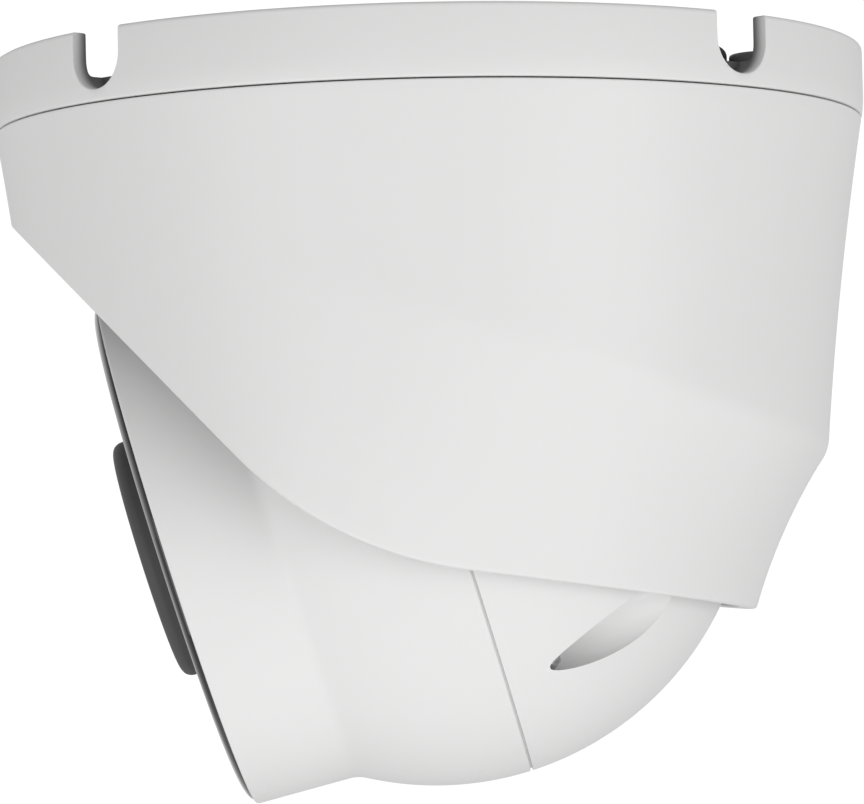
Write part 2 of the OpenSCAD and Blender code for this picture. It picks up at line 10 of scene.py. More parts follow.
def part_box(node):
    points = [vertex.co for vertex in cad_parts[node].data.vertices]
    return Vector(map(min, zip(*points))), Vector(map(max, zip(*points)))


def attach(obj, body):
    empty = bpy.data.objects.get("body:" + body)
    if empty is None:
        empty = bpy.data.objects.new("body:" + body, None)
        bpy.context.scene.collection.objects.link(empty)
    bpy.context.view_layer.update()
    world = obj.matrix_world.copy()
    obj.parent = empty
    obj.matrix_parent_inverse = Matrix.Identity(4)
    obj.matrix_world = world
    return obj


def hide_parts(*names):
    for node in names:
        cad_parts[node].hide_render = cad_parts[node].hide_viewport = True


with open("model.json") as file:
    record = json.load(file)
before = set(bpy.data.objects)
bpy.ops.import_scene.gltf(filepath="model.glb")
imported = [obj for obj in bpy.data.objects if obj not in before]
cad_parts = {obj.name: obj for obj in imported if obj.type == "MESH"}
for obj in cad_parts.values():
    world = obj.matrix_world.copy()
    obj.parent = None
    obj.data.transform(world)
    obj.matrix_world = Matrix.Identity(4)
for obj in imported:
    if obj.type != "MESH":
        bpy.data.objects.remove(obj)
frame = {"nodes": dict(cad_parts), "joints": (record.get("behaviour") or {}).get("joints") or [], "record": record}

bl_info = {
    "name": "Ceiling turret camera",
    "version": (1, 0, 0),
    "blender": (4, 5, 0),
    "location": "View3D > Sidebar > Turret camera",
    "description": "Builds the shells, optics and bearings of a ceiling turret camera",
    "category": "Add Mesh",
}

MM = 0.001

# ---------------------------------------------------------------- places taken from the frame

JOINTS = {joint["name"]: joint for joint in frame["joints"]}
BALL = Vector(JOINTS["tilt"]["pos_m"])
LENS = Vector(JOINTS["roll"]["axis"]).normalized()
SIDE = Vector((1, 0, 0))
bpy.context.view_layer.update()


def half_width(node):
    """Half of a CAD node's width across the camera, in millimetres."""
    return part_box(node)[1].x / MM


def heights(node):
    """Lowest and highest point of a CAD node, in millimetres."""
    low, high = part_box(node)
    return low.z / MM, high.z / MM


def along_lens(node):
    """Where a CAD node starts and ends along the lens axis from the ball centre, in millimetres."""
    places = [(vertex.co - BALL).dot(LENS) / MM for vertex in frame["nodes"][node].data.vertices]
    return min(places), max(places)


def lens_radius(node):
    """Largest distance of a CAD node from the lens axis, in millimetres."""
    reach = 0.0
    for vertex in frame["nodes"][node].data.vertices:
        offset = vertex.co - BALL
        reach = max(reach, (offset - LENS * offset.dot(LENS)).length)
    return reach / MM


BASE_R = half_width("mounting_base")
BASE_H = -heights("mounting_base")[0]
SEAM_Z = heights("shroud")[1]
SHROUD_R = half_width("shroud")
BALL_R = half_width("rear_housing")
BALL_Z = BALL.z / MM
BALL_DROP = SEAM_Z - BALL_Z
FLOOR_TOP = heights("pan_washer")[0]
PLATE_LOW = heights("turret_plate")[0]
PLATE_R = half_width("turret_plate")
RETAINER_LOW, RETAINER_TOP = heights("pan_retainer_ring")
COLLAR_R = half_width("pan_retainer_ring")
GASKET_R = half_width("base_gasket")
GASKET_LOW = heights("base_gasket")[0]
GASKET_IN_R = COLLAR_R + 1
HUB_R = COLLAR_R - 5
HUB_BORE_R = HUB_R - 5
WINDOW_BACK, WINDOW_FACE = along_lens("front_window")
WINDOW_R = lens_radius("front_window")
RING_BACK, RING_FRONT = along_lens("lens_ring")
RING_R = lens_radius("lens_ring")
SNOUT_FRONT = along_lens("front_housing")[1]
SEAM_HALF = along_lens("front_housing")[0]
GLASS_BACK, GLASS_FRONT = along_lens("lens_cover_glass")
GLASS_R = lens_radius("lens_cover_glass")
BARREL_BACK, BARREL_FRONT = along_lens("lens_barrel")
BELL_R = lens_radius("lens_barrel")
JOURNAL_END = along_lens("rear_housing")[0]
YOKE_BACK = along_lens("tilt_yoke")[0]
CLIP_BACK, CLIP_FRONT = along_lens("roll_retainer")
MOUNT = frame["record"]["mounts"][0]["dims"]
SCREW_ANGLES = (90, 210, 330)
SCREW_CIRCLE_R = MOUNT["pcd_mm"] / 2
SCREW_HOLE_R = MOUNT["hole_r_mm"]
LENS_FRAME = Matrix.Translation(BALL) @ Matrix((SIDE, LENS.cross(SIDE), LENS)).transposed().to_4x4()


# ---------------------------------------------------------------- settings

def length(name, description, millimetres):
    """A length setting, stored in metres."""
    return bpy.props.FloatProperty(
        name=name, description=description, default=millimetres * MM,
        min=0.0, unit="LENGTH", subtype="DISTANCE", precision=5)


def angle(name, description, degrees):
    """An angle setting, stored in radians."""
    return bpy.props.FloatProperty(
        name=name, description=description, default=math.radians(degrees),
        unit="ROTATION", subtype="ANGLE")


def colour(name, description, rgb):
    """A colour setting."""
    return bpy.props.FloatVectorProperty(
        name=name, description=description, default=rgb, size=3, min=0.0, max=1.0, subtype="COLOR")


class BaseSettings(bpy.types.PropertyGroup):
    """Sizes of the mounting base."""
    wall: length("Wall", "Thickness of the base's side wall", 2.0)
    edge: length("Edge radius", "Rounding of the base's top and bottom edges", 0.6)
    notch_width: length("Notch width", "Width of the U-shaped notches", 8.2)
    notch_depth: length("Notch depth", "Depth of the notches below the ceiling face", 7.25)
    notch_reach: length("Notch reach", "How far a notch runs in from the outside", 4.0)
    notch_flare: length("Notch flare", "Rounding where a notch meets the wall", 0.35)
    front_angle: angle("Front notches", "Angle of the front notches from the side", 45.9)
    rear_angle: angle("Rear notches", "Angle of the rear notches from the side", 42.8)


class ShroudSettings(bpy.types.PropertyGroup):
    """Sizes of the shroud."""
    wall: length("Wall", "Thickness of the shroud's wall", 2.2)
    lean: angle("Neck lean", "Lean of the crease and of the neck below it", 16.8)
    crease_rise: length("Crease rise", "Height of the crease above the ball centre along the lean", 15.6)
    crease_fillet: length("Crease fillet", "Reach of the rounding along the crease", 1.3)
    rear_gap: length("Rear gap", "Gap between the ball and the neck behind it", 1.65)
    side_gap: length("Side gap", "Gap between the ball and the neck beside it", 1.9)
    edge: length("Edge radius", "Rounding of the lower edge", 0.5)
    lip: length("Top lip", "How far the top edge stands up into the gap under the base", 0.12)
    knee_ahead: length("Knee ahead", "How far ahead of the ball centre the lower edge turns", 12.4)
    knee_below: length("Knee below", "How far below the ball centre the lower edge turns", 11.2)
    knee_radius: length("Knee radius", "Radius of the lower edge's turn", 46.0)
    front_slope: angle("Front slope", "Slope of the front stretch of the lower edge", 46.7)
    rear_slope: angle("Rear slope", "Slope of the rear stretch of the lower edge", 7.9)


class BallSettings(bpy.types.PropertyGroup):
    """Sizes of the ball's two halves."""
    wall: length("Wall", "Thickness of the ball's wall", 2.6)
    edge: length("Seam edge", "Rounding of the edges of the seam round the ball", 0.14)
    tongue_depth: length("Tongue depth", "How deep the tongue that closes the seam lies in it", 0.35)
    snout_inset: length("Snout inset", "How much smaller than the ball the snout is, in radius", 6.5)
    snout_draft: length("Snout draft", "How much wider the snout is where it leaves the ball", 0.5)
    blend_start: length("Blend start", "Where the ball starts to turn into the snout", 19.3)
    blend_end: length("Blend end", "Where the snout's straight part starts", 23.0)
    pocket: length("Screw pocket", "Diameter of the pockets for the housing screws", 6.7)
    pocket_inset: length("Pocket inset", "How far inside the ball's radius the pockets stand", 3.74)
    pocket_floor: length("Pocket floor", "Distance of the pockets' floor from the seam", 4.75)


class FinishSettings(bpy.types.PropertyGroup):
    """Colours of the finishes."""
    shell: colour("Shell", "Satin white powder coat of the shells", (0.80, 0.80, 0.797))
    # Painted shade: a dark grey for the base's inside, standing in for the shade in its cup.
    bare: colour("Inside shade", "Painted shade on the base's inside", (0.15, 0.15, 0.15))
    window: colour("Window", "Black front window", (0.006, 0.006, 0.007))
    matte: colour("Matte black", "Matte black mouldings round the lens", (0.085, 0.085, 0.087))
    rubber: colour("Rubber", "Rubber seals and gland", (0.03, 0.03, 0.032))
    steel: colour("Zinc-plated steel", "Pressed steel parts", (0.58, 0.59, 0.62))
    screw: colour("Stainless steel", "Screws, pins and clips", (0.62, 0.62, 0.63))
    brass: colour("Brass", "Turned standoffs", (0.70, 0.50, 0.22))
    aluminium: colour("Aluminium", "Bare aluminium bracket and heat spreader", (0.72, 0.73, 0.75))
    board: colour("Circuit board", "Green solder mask", (0.02, 0.13, 0.055))
    led_board: colour("Light board", "White solder mask of the light board", (0.78, 0.78, 0.75))


class StageSettings(bpy.types.PropertyGroup):
    """Floor, lights and camera."""
    distance: length("Camera distance", "Distance of the camera from the seam", 579.8)
    elevation: angle("Camera elevation", "Height of the camera over the seam", -6.42)
    roll: angle("Camera roll", "Roll of the camera", -1.20)
    aim_drop: length("Aim drop", "How far below the seam the camera aims", 34.3)
    aim_side: length("Aim side", "How far ahead of the pan axis the camera aims", 0.3)
    floor_drop: length("Floor drop", "Depth of the floor below the ceiling face", 1600.0)
    focal: bpy.props.FloatProperty(
        name="Focal length", description="Focal length in millimetres", default=189.9, min=1.0)
    world: bpy.props.FloatProperty(
        name="Room light", description="Strength of the even room light", default=0.60, min=0.0)
    key: bpy.props.FloatProperty(
        name="Key light", description="Power of the key light in watts", default=2.1, min=0.0)


# ---------------------------------------------------------------- mesh work

def object_from(name, bm, smooth_angle=38):
    """An object made from a bmesh in millimetres, with outward normals and smooth shading."""
    bmesh.ops.remove_doubles(bm, verts=bm.verts, dist=1e-4)
    bmesh.ops.recalc_face_normals(bm, faces=bm.faces)
    bmesh.ops.scale(bm, vec=(MM, MM, MM), verts=bm.verts)
    mesh = bpy.data.meshes.new(name)
    bm.to_mesh(mesh)
    bm.free()
    obj = bpy.data.objects.new(name, mesh)
    bpy.context.scene.collection.objects.link(obj)
    shade(obj, smooth_angle)
    return obj


def shade(obj, smooth_angle=38):
    """Smooth shading that keeps edges sharper than the angle."""
    obj.data.polygons.foreach_set("use_smooth", [True] * len(obj.data.polygons))
    obj.data.set_sharp_from_angle(angle=math.radians(smooth_angle))


def move_to(obj, matrix):
    """Moves an object's mesh, so that the object itself stays at the origin."""
    obj.data.transform(matrix)
    return obj


def turned(start, corner, end, steps):
    """Points of a smooth turn from start to end that leans towards the corner between them."""
    points = []
    for k in range(steps + 1):
        t = k / steps
        points.append(start * (1 - t) ** 2 + corner * 2 * t * (1 - t) + end * t ** 2)
    return points


def rounded(corners, steps=4):
    """A closed outline of (radius, height, rounding) corners with each corner rounded off."""
    outline = []
    count = len(corners)
    for i, (r, z, rounding) in enumerate(corners):
        here = Vector((r, z))
        before = Vector(corners[i - 1][:2]) - here
        after = Vector(corners[(i + 1) % count][:2]) - here
        reach = min(rounding, 0.45 * before.length, 0.45 * after.length)
        if reach < 1e-3:
            outline.append((r, z))
            continue
        start = here + before.normalized() * reach
        end = here + after.normalized() * reach
        outline += [tuple(point) for point in turned(start, here, end, steps)]
    return outline


def band(inner, outer, low, high, roundings, steps=4):
    """The outline of a flat ring: its roundings go from the inner low corner outwards, up and back in."""
    places = ((inner, low), (outer, low), (outer, high), (inner, high))
    return rounded([(*place, rounding) for place, rounding in zip(places, roundings)], steps)


def bridge(bm, here, there):
    """Joins two closed rows of corners with faces."""
    for i in range(len(here)):
        j = (i + 1) % len(here)
        bm.faces.new((here[i], here[j], there[j], there[i]))


def lathe(name, outline, segments=160):
    """A closed outline of (radius, height) points turned about the local Z axis."""
    bm = bmesh.new()
    rings = []
    for k in range(segments):
        turn = 2 * math.pi * k / segments
        rings.append([bm.verts.new((r * math.cos(turn), r * math.sin(turn), z)) for r, z in outline])
    count = len(outline)
    for k in range(segments):
        here, there = rings[k], rings[(k + 1) % segments]
        for i in range(count):
            j = (i + 1) % count
            if outline[i][0] < 1e-6 and outline[j][0] < 1e-6:
                continue
            bm.faces.new((here[i], here[j], there[j], there[i]))
    return object_from(name, bm)


def lens_lathe(name, outline, segments):
    """An outline turned about the lens axis, with heights forward from the ball centre."""
    return move_to(lathe(name, outline, segments), LENS_FRAME)


def prism(name, outline, low, high):
    """An outline of (x, y) points raised from low to high along Z."""
    bm = bmesh.new()
    bottom = [bm.verts.new((x, y, low)) for x, y in outline]
    top = [bm.verts.new((x, y, high)) for x, y in outline]
    bm.faces.new(bottom)
    bm.faces.new(top)
    bridge(bm, bottom, top)
    return object_from(name, bm)


def polygon(radius, sides, turn=0.0):
    """Corners of a regular polygon."""
    return [(radius * math.cos(turn + 2 * math.pi * k / sides),
             radius * math.sin(turn + 2 * math.pi * k / sides)) for k in range(sides)]


def block(name, centre, size):
    """A box with softly rounded upright corners, centred on a point, in millimetres."""
    half_x, half_y = size[0] / 2, size[1] / 2
    outline = rounded([(-half_x, -half_y, 0.3), (half_x, -half_y, 0.3),
                       (half_x, half_y, 0.3), (-half_x, half_y, 0.3)], 2)
    obj = prism(name, outline, -size[2] / 2, size[2] / 2)
    return move_to(obj, Matrix.Translation(Vector(centre) * MM))


def settle(obj):
    """Writes an object's modifiers into its mesh."""
    graph = bpy.context.evaluated_depsgraph_get()
    mesh = bpy.data.meshes.new_from_object(obj.evaluated_get(graph), depsgraph=graph)
    obj.modifiers.clear()
    old = obj.data
    obj.data = mesh
    bpy.data.meshes.remove(old)
    return obj


def combine(obj, others, operation, smooth_angle=38):
    """Joins other solids to an object, or cuts them out of it, and removes them."""
    for other in others:
        modifier = obj.modifiers.new("combine", "BOOLEAN")
        modifier.operation = operation
        modifier.solver = "EXACT"
        modifier.object = other
        settle(obj)
        bpy.data.objects.remove(other)
    shade(obj, smooth_angle)
    return obj


def soften(obj, width):
    """Rounds an object's sharp edges by a width in millimetres."""
    bevel = obj.modifiers.new("edges", "BEVEL")
    bevel.width = width * MM
    bevel.segments = 2
    bevel.limit_method = "ANGLE"
    bevel.angle_limit = math.radians(40)
    bevel.use_clamp_overlap = True
    bevel.miter_outer = "MITER_ARC"
    settle(obj)
    normals = obj.modifiers.new("normals", "WEIGHTED_NORMAL")
    normals.keep_sharp = True
    normals.weight = 80
    shade(obj, 45)
    return obj


def merge_pieces(name, objects):
    """Makes one object of several separate solids."""
    bm = bmesh.new()
    for obj in objects:
        bm.from_mesh(obj.data)
        bpy.data.objects.remove(obj)
    mesh = bpy.data.meshes.new(name)
    bm.to_mesh(mesh)
    bm.free()
    merged = bpy.data.objects.new(name, mesh)
    bpy.context.scene.collection.objects.link(merged)
    shade(merged)
    return merged


def install(obj, body, slot, node, material=None):
    """Gives a finished piece its finish and its body, and hides the CAD node that it stands for."""
    obj.data.materials.clear()
    obj.data.materials.append(material or finish(slot))
    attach(obj, body)
    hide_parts(node)


def around(degrees, radius):
    """Places a copy at an angle on a circle, in millimetres."""
    turn = math.radians(degrees)
    return Matrix.Rotation(turn, 4, "Z") @ Matrix.Translation((radius * MM, 0, 0))


def sideways(side):
    """Lays the local Z axis along the tilt axis, outwards on one side."""
    return Matrix.Rotation(math.radians(90 * side), 4, "Y")


# ---------------------------------------------------------------- shader groups

def new_group(name, inputs, outputs):
    """A shader group of float inputs (name, default) and float outputs, with its two end nodes."""
    group = bpy.data.node_groups.new(name, "ShaderNodeTree")
    for socket, default in inputs:
        item = group.interface.new_socket(socket, in_out="INPUT", socket_type="NodeSocketFloat")
        item.default_value = default
    for socket in outputs:
        group.interface.new_socket(socket, in_out="OUTPUT", socket_type="NodeSocketFloat")
    return group, group.nodes.new("NodeGroupInput"), group.nodes.new("NodeGroupOutput")


def add(tree, kind, **values):
    """A node with its properties and unlinked sockets set."""
    node = tree.nodes.new(kind)
    for key, value in values.items():
        if key in node.inputs:
            node.inputs[key].default_value = value
        else:
            setattr(node, key, value)
    return node


def maths(tree, operation, a, b):
    """A math node on two sockets or numbers, giving its output socket."""
    node = add(tree, "ShaderNodeMath", operation=operation)
    for socket, value in zip(node.inputs, (a, b)):
        if isinstance(value, (int, float)):
            socket.default_value = value
        else:
            tree.links.new(value, socket)
    return node.outputs[0]


def weighted(tree, first, share, second, other_share):
    """The sum of two values, each taken by its share."""
    one = maths(tree, "MULTIPLY", first, share)
    other = maths(tree, "MULTIPLY", second, other_share)
    return maths(tree, "ADD", one, other)


def spread(tree, value, low, high):
    """Maps a 0 to 1 value on to a range."""
    node = add(tree, "ShaderNodeMapRange", **{"To Min": low, "To Max": high})
    tree.links.new(value, node.inputs["Value"])
    return node.outputs["Result"]


def noise(tree, vector, scale, detail=3.0, roughness=0.5):
    """A noise value over a vector, at a scale given as a socket or a number."""
    node = add(tree, "ShaderNodeTexNoise", Detail=detail, Roughness=roughness)
    tree.links.new(vector, node.inputs["Vector"])
    if isinstance(scale, (int, float)):
        node.inputs["Scale"].default_value = scale
    else:
        tree.links.new(scale, node.inputs["Scale"])
    return node.outputs["Fac"]


def grain_group():
    """Fine grain of a coat or a moulding: Tone, Gloss and Height from 0 to 1."""
    group, source, sink = new_group(
        "Fine grain", [("Scale", 900.0), ("Mottle", 60.0)], ["Tone", "Gloss", "Height"])
    place = group.nodes.new("ShaderNodeTexCoord").outputs["Object"]
    fine = noise(group, place, source.outputs["Scale"], 2.0)
    finer = noise(group, place, maths(group, "MULTIPLY", source.outputs["Scale"], 2.7), 1.0)
    broad = noise(group, place, source.outputs["Mottle"], 4.0, 0.6)
    group.links.new(spread(group, broad, 0.0, 1.0), sink.inputs["Tone"])
    group.links.new(weighted(group, fine, 0.4, broad, 0.6), sink.inputs["Gloss"])
    group.links.new(weighted(group, fine, 0.65, finer, 0.35), sink.inputs["Height"])
    return group


def handling_group():
    """Faint dust and wiping marks from handling: a Marks mask from 0 to 1."""
    group, source, sink = new_group("Handling marks", [("Scale", 35.0), ("Amount", 0.5)], ["Marks"])
    place = group.nodes.new("ShaderNodeTexCoord").outputs["Object"]
    stretch = add(group, "ShaderNodeMapping", Scale=(1.0, 1.0, 3.5), Rotation=(0.4, 0.7, 0.2))
    group.links.new(place, stretch.inputs["Vector"])
    patches = noise(group, stretch.outputs["Vector"], source.outputs["Scale"], 5.0, 0.65)
    specks = noise(group, place, 2200.0, 1.0)
    dust = maths(group, "GREATER_THAN", specks, 0.72)
    marks = weighted(group, patches, 0.8, dust, 0.2)
    group.links.new(maths(group, "MULTIPLY", marks, source.outputs["Amount"]), sink.inputs["Marks"])
    return group


def brushed_group():
    """Rolling or turning lines of a metal: Tone and Height from 0 to 1."""
    group, source, sink = new_group(
        "Brushed lines", [("Scale", 300.0), ("Stretch", 14.0)], ["Tone", "Height"])
    place = group.nodes.new("ShaderNodeTexCoord").outputs["Object"]
    split = group.nodes.new("ShaderNodeSeparateXYZ")
    group.links.new(place, split.inputs["Vector"])
    rebuilt = group.nodes.new("ShaderNodeCombineXYZ")
    group.links.new(split.outputs["X"], rebuilt.inputs["X"])
    for axis in "YZ":
        stretched = maths(group, "MULTIPLY", split.outputs[axis], source.outputs["Stretch"])
        group.links.new(stretched, rebuilt.inputs[axis])
    lines = noise(group, rebuilt.outputs["Vector"], source.outputs["Scale"], 3.0)
    clouds = noise(group, place, 120.0, 4.0)
    group.links.new(weighted(group, lines, 0.6, clouds, 0.4), sink.inputs["Tone"])
    group.links.new(lines, sink.inputs["Height"])
    return group


def wear_group():
    """Edges rubbed smooth: an Edge mask from 0 to 1 that follows the surface's sharpness."""
    group, source, sink = new_group("Edge wear", [("Reach", 0.55)], ["Edge"])
    geometry = group.nodes.new("ShaderNodeNewGeometry")
    ramp = add(group, "ShaderNodeMapRange", **{"From Max": 0.75})
    group.links.new(geometry.outputs["Pointiness"], ramp.inputs["Value"])
    group.links.new(source.outputs["Reach"], ramp.inputs["From Min"])
    group.links.new(ramp.outputs["Result"], sink.inputs["Edge"])
    return group


GROUPS = {}
FINISHES = {}


def group_node(tree, name, **values):
    """A node that places one of the shared groups with its own values."""
    makers = {"grain": grain_group, "handling": handling_group, "brushed": brushed_group, "wear": wear_group}
    if name not in GROUPS:
        GROUPS[name] = makers[name]()
    node = add(tree, "ShaderNodeGroup", node_tree=GROUPS[name])
    for key, value in values.items():
        node.inputs[key].default_value = value
    return node


def blank(name):
    """A new material, its tree and its Principled shader."""
    material = bpy.data.materials.new(name)
    material.use_nodes = True
    tree = material.node_tree
    return material, tree, tree.nodes["Principled BSDF"]


def blend_colours(tree, factor, first, second):
    """Mixes two colours by a 0 to 1 value and gives the colour socket."""
    node = add(tree, "ShaderNodeMix", data_type="RGBA")
    tree.links.new(factor, node.inputs["Factor"])
    for socket, value in ((node.inputs[6], first), (node.inputs[7], second)):
        if isinstance(value, (tuple, list)):
            socket.default_value = (*value, 1.0)
        else:
            tree.links.new(value, socket)
    return node.outputs[2]


def bump(tree, shader, height, strength, distance):
    """Feeds a height to the shader's normal, with its distance in millimetres."""
    node = add(tree, "ShaderNodeBump", Strength=strength, Distance=distance * MM)
    tree.links.new(height, node.inputs["Height"])
    tree.links.new(node.outputs["Normal"], shader.inputs["Normal"])


def scaled(rgb, factor):
    """A colour made lighter or darker."""
    return tuple(min(1.0, channel * factor) for channel in rgb)


# ---------------------------------------------------------------- finishes

def moulded(name, rgb, roughness, scale=900.0, depth=0.02, contrast=0.05, marks=0.25, coat=0.0):
    """A coated or moulded surface with grain, mottle, rubbed edges and handling marks."""
    material, tree, shader = blank(name)
    grain = group_node(tree, "grain", Scale=scale)
    handling = group_node(tree, "handling", Amount=marks)
    wear = group_node(tree, "wear")
    tint = blend_colours(tree, grain.outputs["Tone"], scaled(rgb, 1 - contrast), scaled(rgb, 1 + contrast))
    worn = blend_colours(tree, maths(tree, "MULTIPLY", wear.outputs["Edge"], 0.5), tint, scaled(rgb, 1.12))
    dusty = blend_colours(tree, maths(tree, "MULTIPLY", handling.outputs["Marks"], 0.12), worn,
                          tuple(0.75 * channel + 0.12 for channel in rgb))
    tree.links.new(dusty, shader.inputs["Base Color"])
    gloss = maths(tree, "ADD", spread(tree, grain.outputs["Gloss"], roughness - 0.06, roughness + 0.06),
                  maths(tree, "MULTIPLY", handling.outputs["Marks"], 0.08))
    tree.links.new(gloss, shader.inputs["Roughness"])
    shader.inputs["Coat Weight"].default_value = coat
    shader.inputs["Specular IOR Level"].default_value = 0.32
    bump(tree, shader, grain.outputs["Height"], 0.5, depth)
    return material


def shell_finish_shaded_inside(name, rgb, bare, roughness, radius):
    """The shells' coat with painted shade inside the base: inwards from the outer wall the coat fades into a dark
    grey that stands in for shade in the cup.
    """
    material = moulded(name, rgb, roughness, 1100.0, 0.012, 0.012, 0.10)
    tree = material.node_tree
    shader = tree.nodes["Principled BSDF"]
    coat = shader.inputs["Base Color"].links[0].from_socket
    place = tree.nodes.new("ShaderNodeTexCoord").outputs["Object"]
    flat = add(tree, "ShaderNodeVectorMath", operation="MULTIPLY")
    flat.inputs[1].default_value = (1, 1, 0)
    tree.links.new(place, flat.inputs[0])
    reach = add(tree, "ShaderNodeVectorMath", operation="LENGTH")
    tree.links.new(flat.outputs["Vector"], reach.inputs[0])
    # Painted shade: this ramp runs from 0 a little inside the outer radius to 1 at it, so the coat fades into the
    # dark grey inwards.
    shade_fade = add(tree, "ShaderNodeMapRange", interpolation_type="SMOOTHSTEP")
    shade_fade.inputs["From Min"].default_value = (radius - 2.1) * MM
    shade_fade.inputs["From Max"].default_value = (radius - 0.3) * MM
    tree.links.new(reach.outputs["Value"], shade_fade.inputs["Value"])
    grain = group_node(tree, "grain", Scale=700.0, Mottle=110.0)
    # The dark grey that stands in for shade inside the cup, with a faint mottle.
    painted_inside_shade = blend_colours(tree, grain.outputs["Tone"], scaled(bare, 0.8), scaled(bare, 1.2))
    both = blend_colours(tree, shade_fade.outputs["Result"], painted_inside_shade, coat)
    tree.links.new(both, shader.inputs["Base Color"])
    return material


def metal(name, rgb, roughness, scale=300.0, stretch=14.0, depth=0.01):
    """A bare metal with rolling lines, clouding and rubbed edges."""
    material, tree, shader = blank(name)
    lines = group_node(tree, "brushed", Scale=scale, Stretch=stretch)
    wear = group_node(tree, "wear")
    tint = blend_colours(tree, lines.outputs["Tone"], scaled(rgb, 0.86), scaled(rgb, 1.1))
    worn = blend_colours(tree, wear.outputs["Edge"], tint, scaled(rgb, 1.25))
    tree.links.new(worn, shader.inputs["Base Color"])
    tree.links.new(spread(tree, lines.outputs["Tone"], roughness - 0.08, roughness + 0.1),
                   shader.inputs["Roughness"])
    shader.inputs["Metallic"].default_value = 1.0
    bump(tree, shader, lines.outputs["Height"], 0.4, depth)
    return material


def window_finish(rgb):
    """Deep gloss black that passes infrared, with a faint dark red tint and fine wiping marks."""
    material, tree, shader = blank("Window black")
    handling = group_node(tree, "handling", Scale=60.0, Amount=0.6)
    grain = group_node(tree, "grain", Scale=400.0, Mottle=90.0)
    tint = blend_colours(tree, grain.outputs["Tone"], rgb, (rgb[0] * 2.2, rgb[1] * 1.3, rgb[2] * 1.4))
    tree.links.new(tint, shader.inputs["Base Color"])
    tree.links.new(spread(tree, handling.outputs["Marks"], 0.03, 0.09), shader.inputs["Roughness"])
    shader.inputs["IOR"].default_value = 1.49
    shader.inputs["Coat Weight"].default_value = 0.6
    shader.inputs["Coat Roughness"].default_value = 0.02
    bump(tree, shader, grain.outputs["Tone"], 0.15, 0.01)
    return material


def glass(name, rgb, ior, roughness=0.0, glow=None):
    """Lens glass: clear, tinted, and with a coating that shows at a slant where glow is given."""
    material, tree, shader = blank(name)
    grain = group_node(tree, "grain", Scale=250.0, Mottle=70.0)
    tint = blend_colours(tree, grain.outputs["Tone"], scaled(rgb, 0.97), rgb)
    if glow:
        slant = add(tree, "ShaderNodeLayerWeight", Blend=0.35)
        tint = blend_colours(tree, slant.outputs["Facing"], glow, tint)
    tree.links.new(tint, shader.inputs["Base Color"])
    polish = spread(tree, grain.outputs["Gloss"], roughness, roughness + 0.02)
    tree.links.new(polish, shader.inputs["Roughness"])
    shader.inputs["IOR"].default_value = ior
    shader.inputs["Transmission Weight"].default_value = 1.0
    return material


def board_finish(name, rgb, copper):
    """Solder mask over copper tracks, which show as slightly raised, lighter lines."""
    material, tree, shader = blank(name)
    place = tree.nodes.new("ShaderNodeTexCoord").outputs["Object"]
    tracks = add(tree, "ShaderNodeTexBrick", Scale=420.0, offset=0.5)
    tracks.inputs["Mortar Size"].default_value = 0.03
    tree.links.new(place, tracks.inputs["Vector"])
    patches = maths(tree, "GREATER_THAN", noise(tree, place, 160.0, 2.0), 0.5)
    mask = maths(tree, "MULTIPLY", maths(tree, "SUBTRACT", 1.0, tracks.outputs["Fac"]), patches)
    grain = group_node(tree, "grain", Scale=1500.0)
    tree.links.new(blend_colours(tree, mask, rgb, copper), shader.inputs["Base Color"])
    tree.links.new(spread(tree, grain.outputs["Gloss"], 0.28, 0.42), shader.inputs["Roughness"])
    bump(tree, shader, mask, 0.4, 0.03)
    return material


def finish(slot):
    """The material of one of the record's slots, made when it is first needed."""
    settings = bpy.context.scene.turret_finish
    look = {key: tuple(getattr(settings, key)) for key in FinishSettings.__annotations__}
    acetal = scaled(look["matte"], 0.4)
    makers = {
        "white_shell": lambda: moulded("White shell", look["shell"], 0.42, 1100.0, 0.012, 0.012, 0.10),
        "black_rubber": lambda: moulded("Black rubber", look["rubber"], 0.72, 700.0, 0.03, 0.15, 0.5),
        "acetal_black": lambda: moulded("Black acetal", acetal, 0.45, 500.0, 0.01, 0.10, 0.3),
        "lens_black": lambda: moulded("Matte black", look["matte"], 0.55, 1400.0, 0.02, 0.12, 0.3),
        "zinc_steel": lambda: metal("Zinc-plated steel", look["steel"], 0.34),
        "screw_steel": lambda: metal("Stainless steel", look["screw"], 0.26, 500.0, 4.0),
        "brass_post": lambda: metal("Turned brass", look["brass"], 0.3, 600.0, 5.0),
        "bare_aluminium": lambda: metal("Bare aluminium", look["aluminium"], 0.38, 260.0, 20.0),
        "window_black": lambda: window_finish(look["window"]),
        "clear_glass": lambda: glass("Clear glass", (0.96, 0.98, 0.98), 1.52),
        "coated_glass": lambda: glass("Coated glass", (0.86, 0.80, 0.95), 1.62, 0.0, (0.30, 0.16, 0.62)),
        "filter_glass": lambda: glass("Filter glass", (0.72, 0.28, 0.30), 1.52, 0.02),
        "sensor_chip": lambda: moulded("Chip package", (0.05, 0.055, 0.07), 0.3, 900.0, 0.01, 0.1, 0.2),
        "circuit_board": lambda: board_finish("Circuit board", look["board"], (0.05, 0.24, 0.10)),
        "led_board_white": lambda: board_finish("Light board", look["led_board"], (0.86, 0.86, 0.82)),
        "connector_cream": lambda: moulded("Connector nylon", (0.74, 0.70, 0.56), 0.4, 800.0, 0.01, 0.05),
        "led_lens": lambda: moulded("Emitter resin", (0.72, 0.70, 0.52), 0.12, 500.0, 0.004, 0.04, 0.2, 0.5),
    }
    if slot not in FINISHES:
        FINISHES[slot] = makers[slot]()
    return FINISHES[slot]


# ---------------------------------------------------------------- mounting base

RIB_ANGLES = (0, 180, 270)


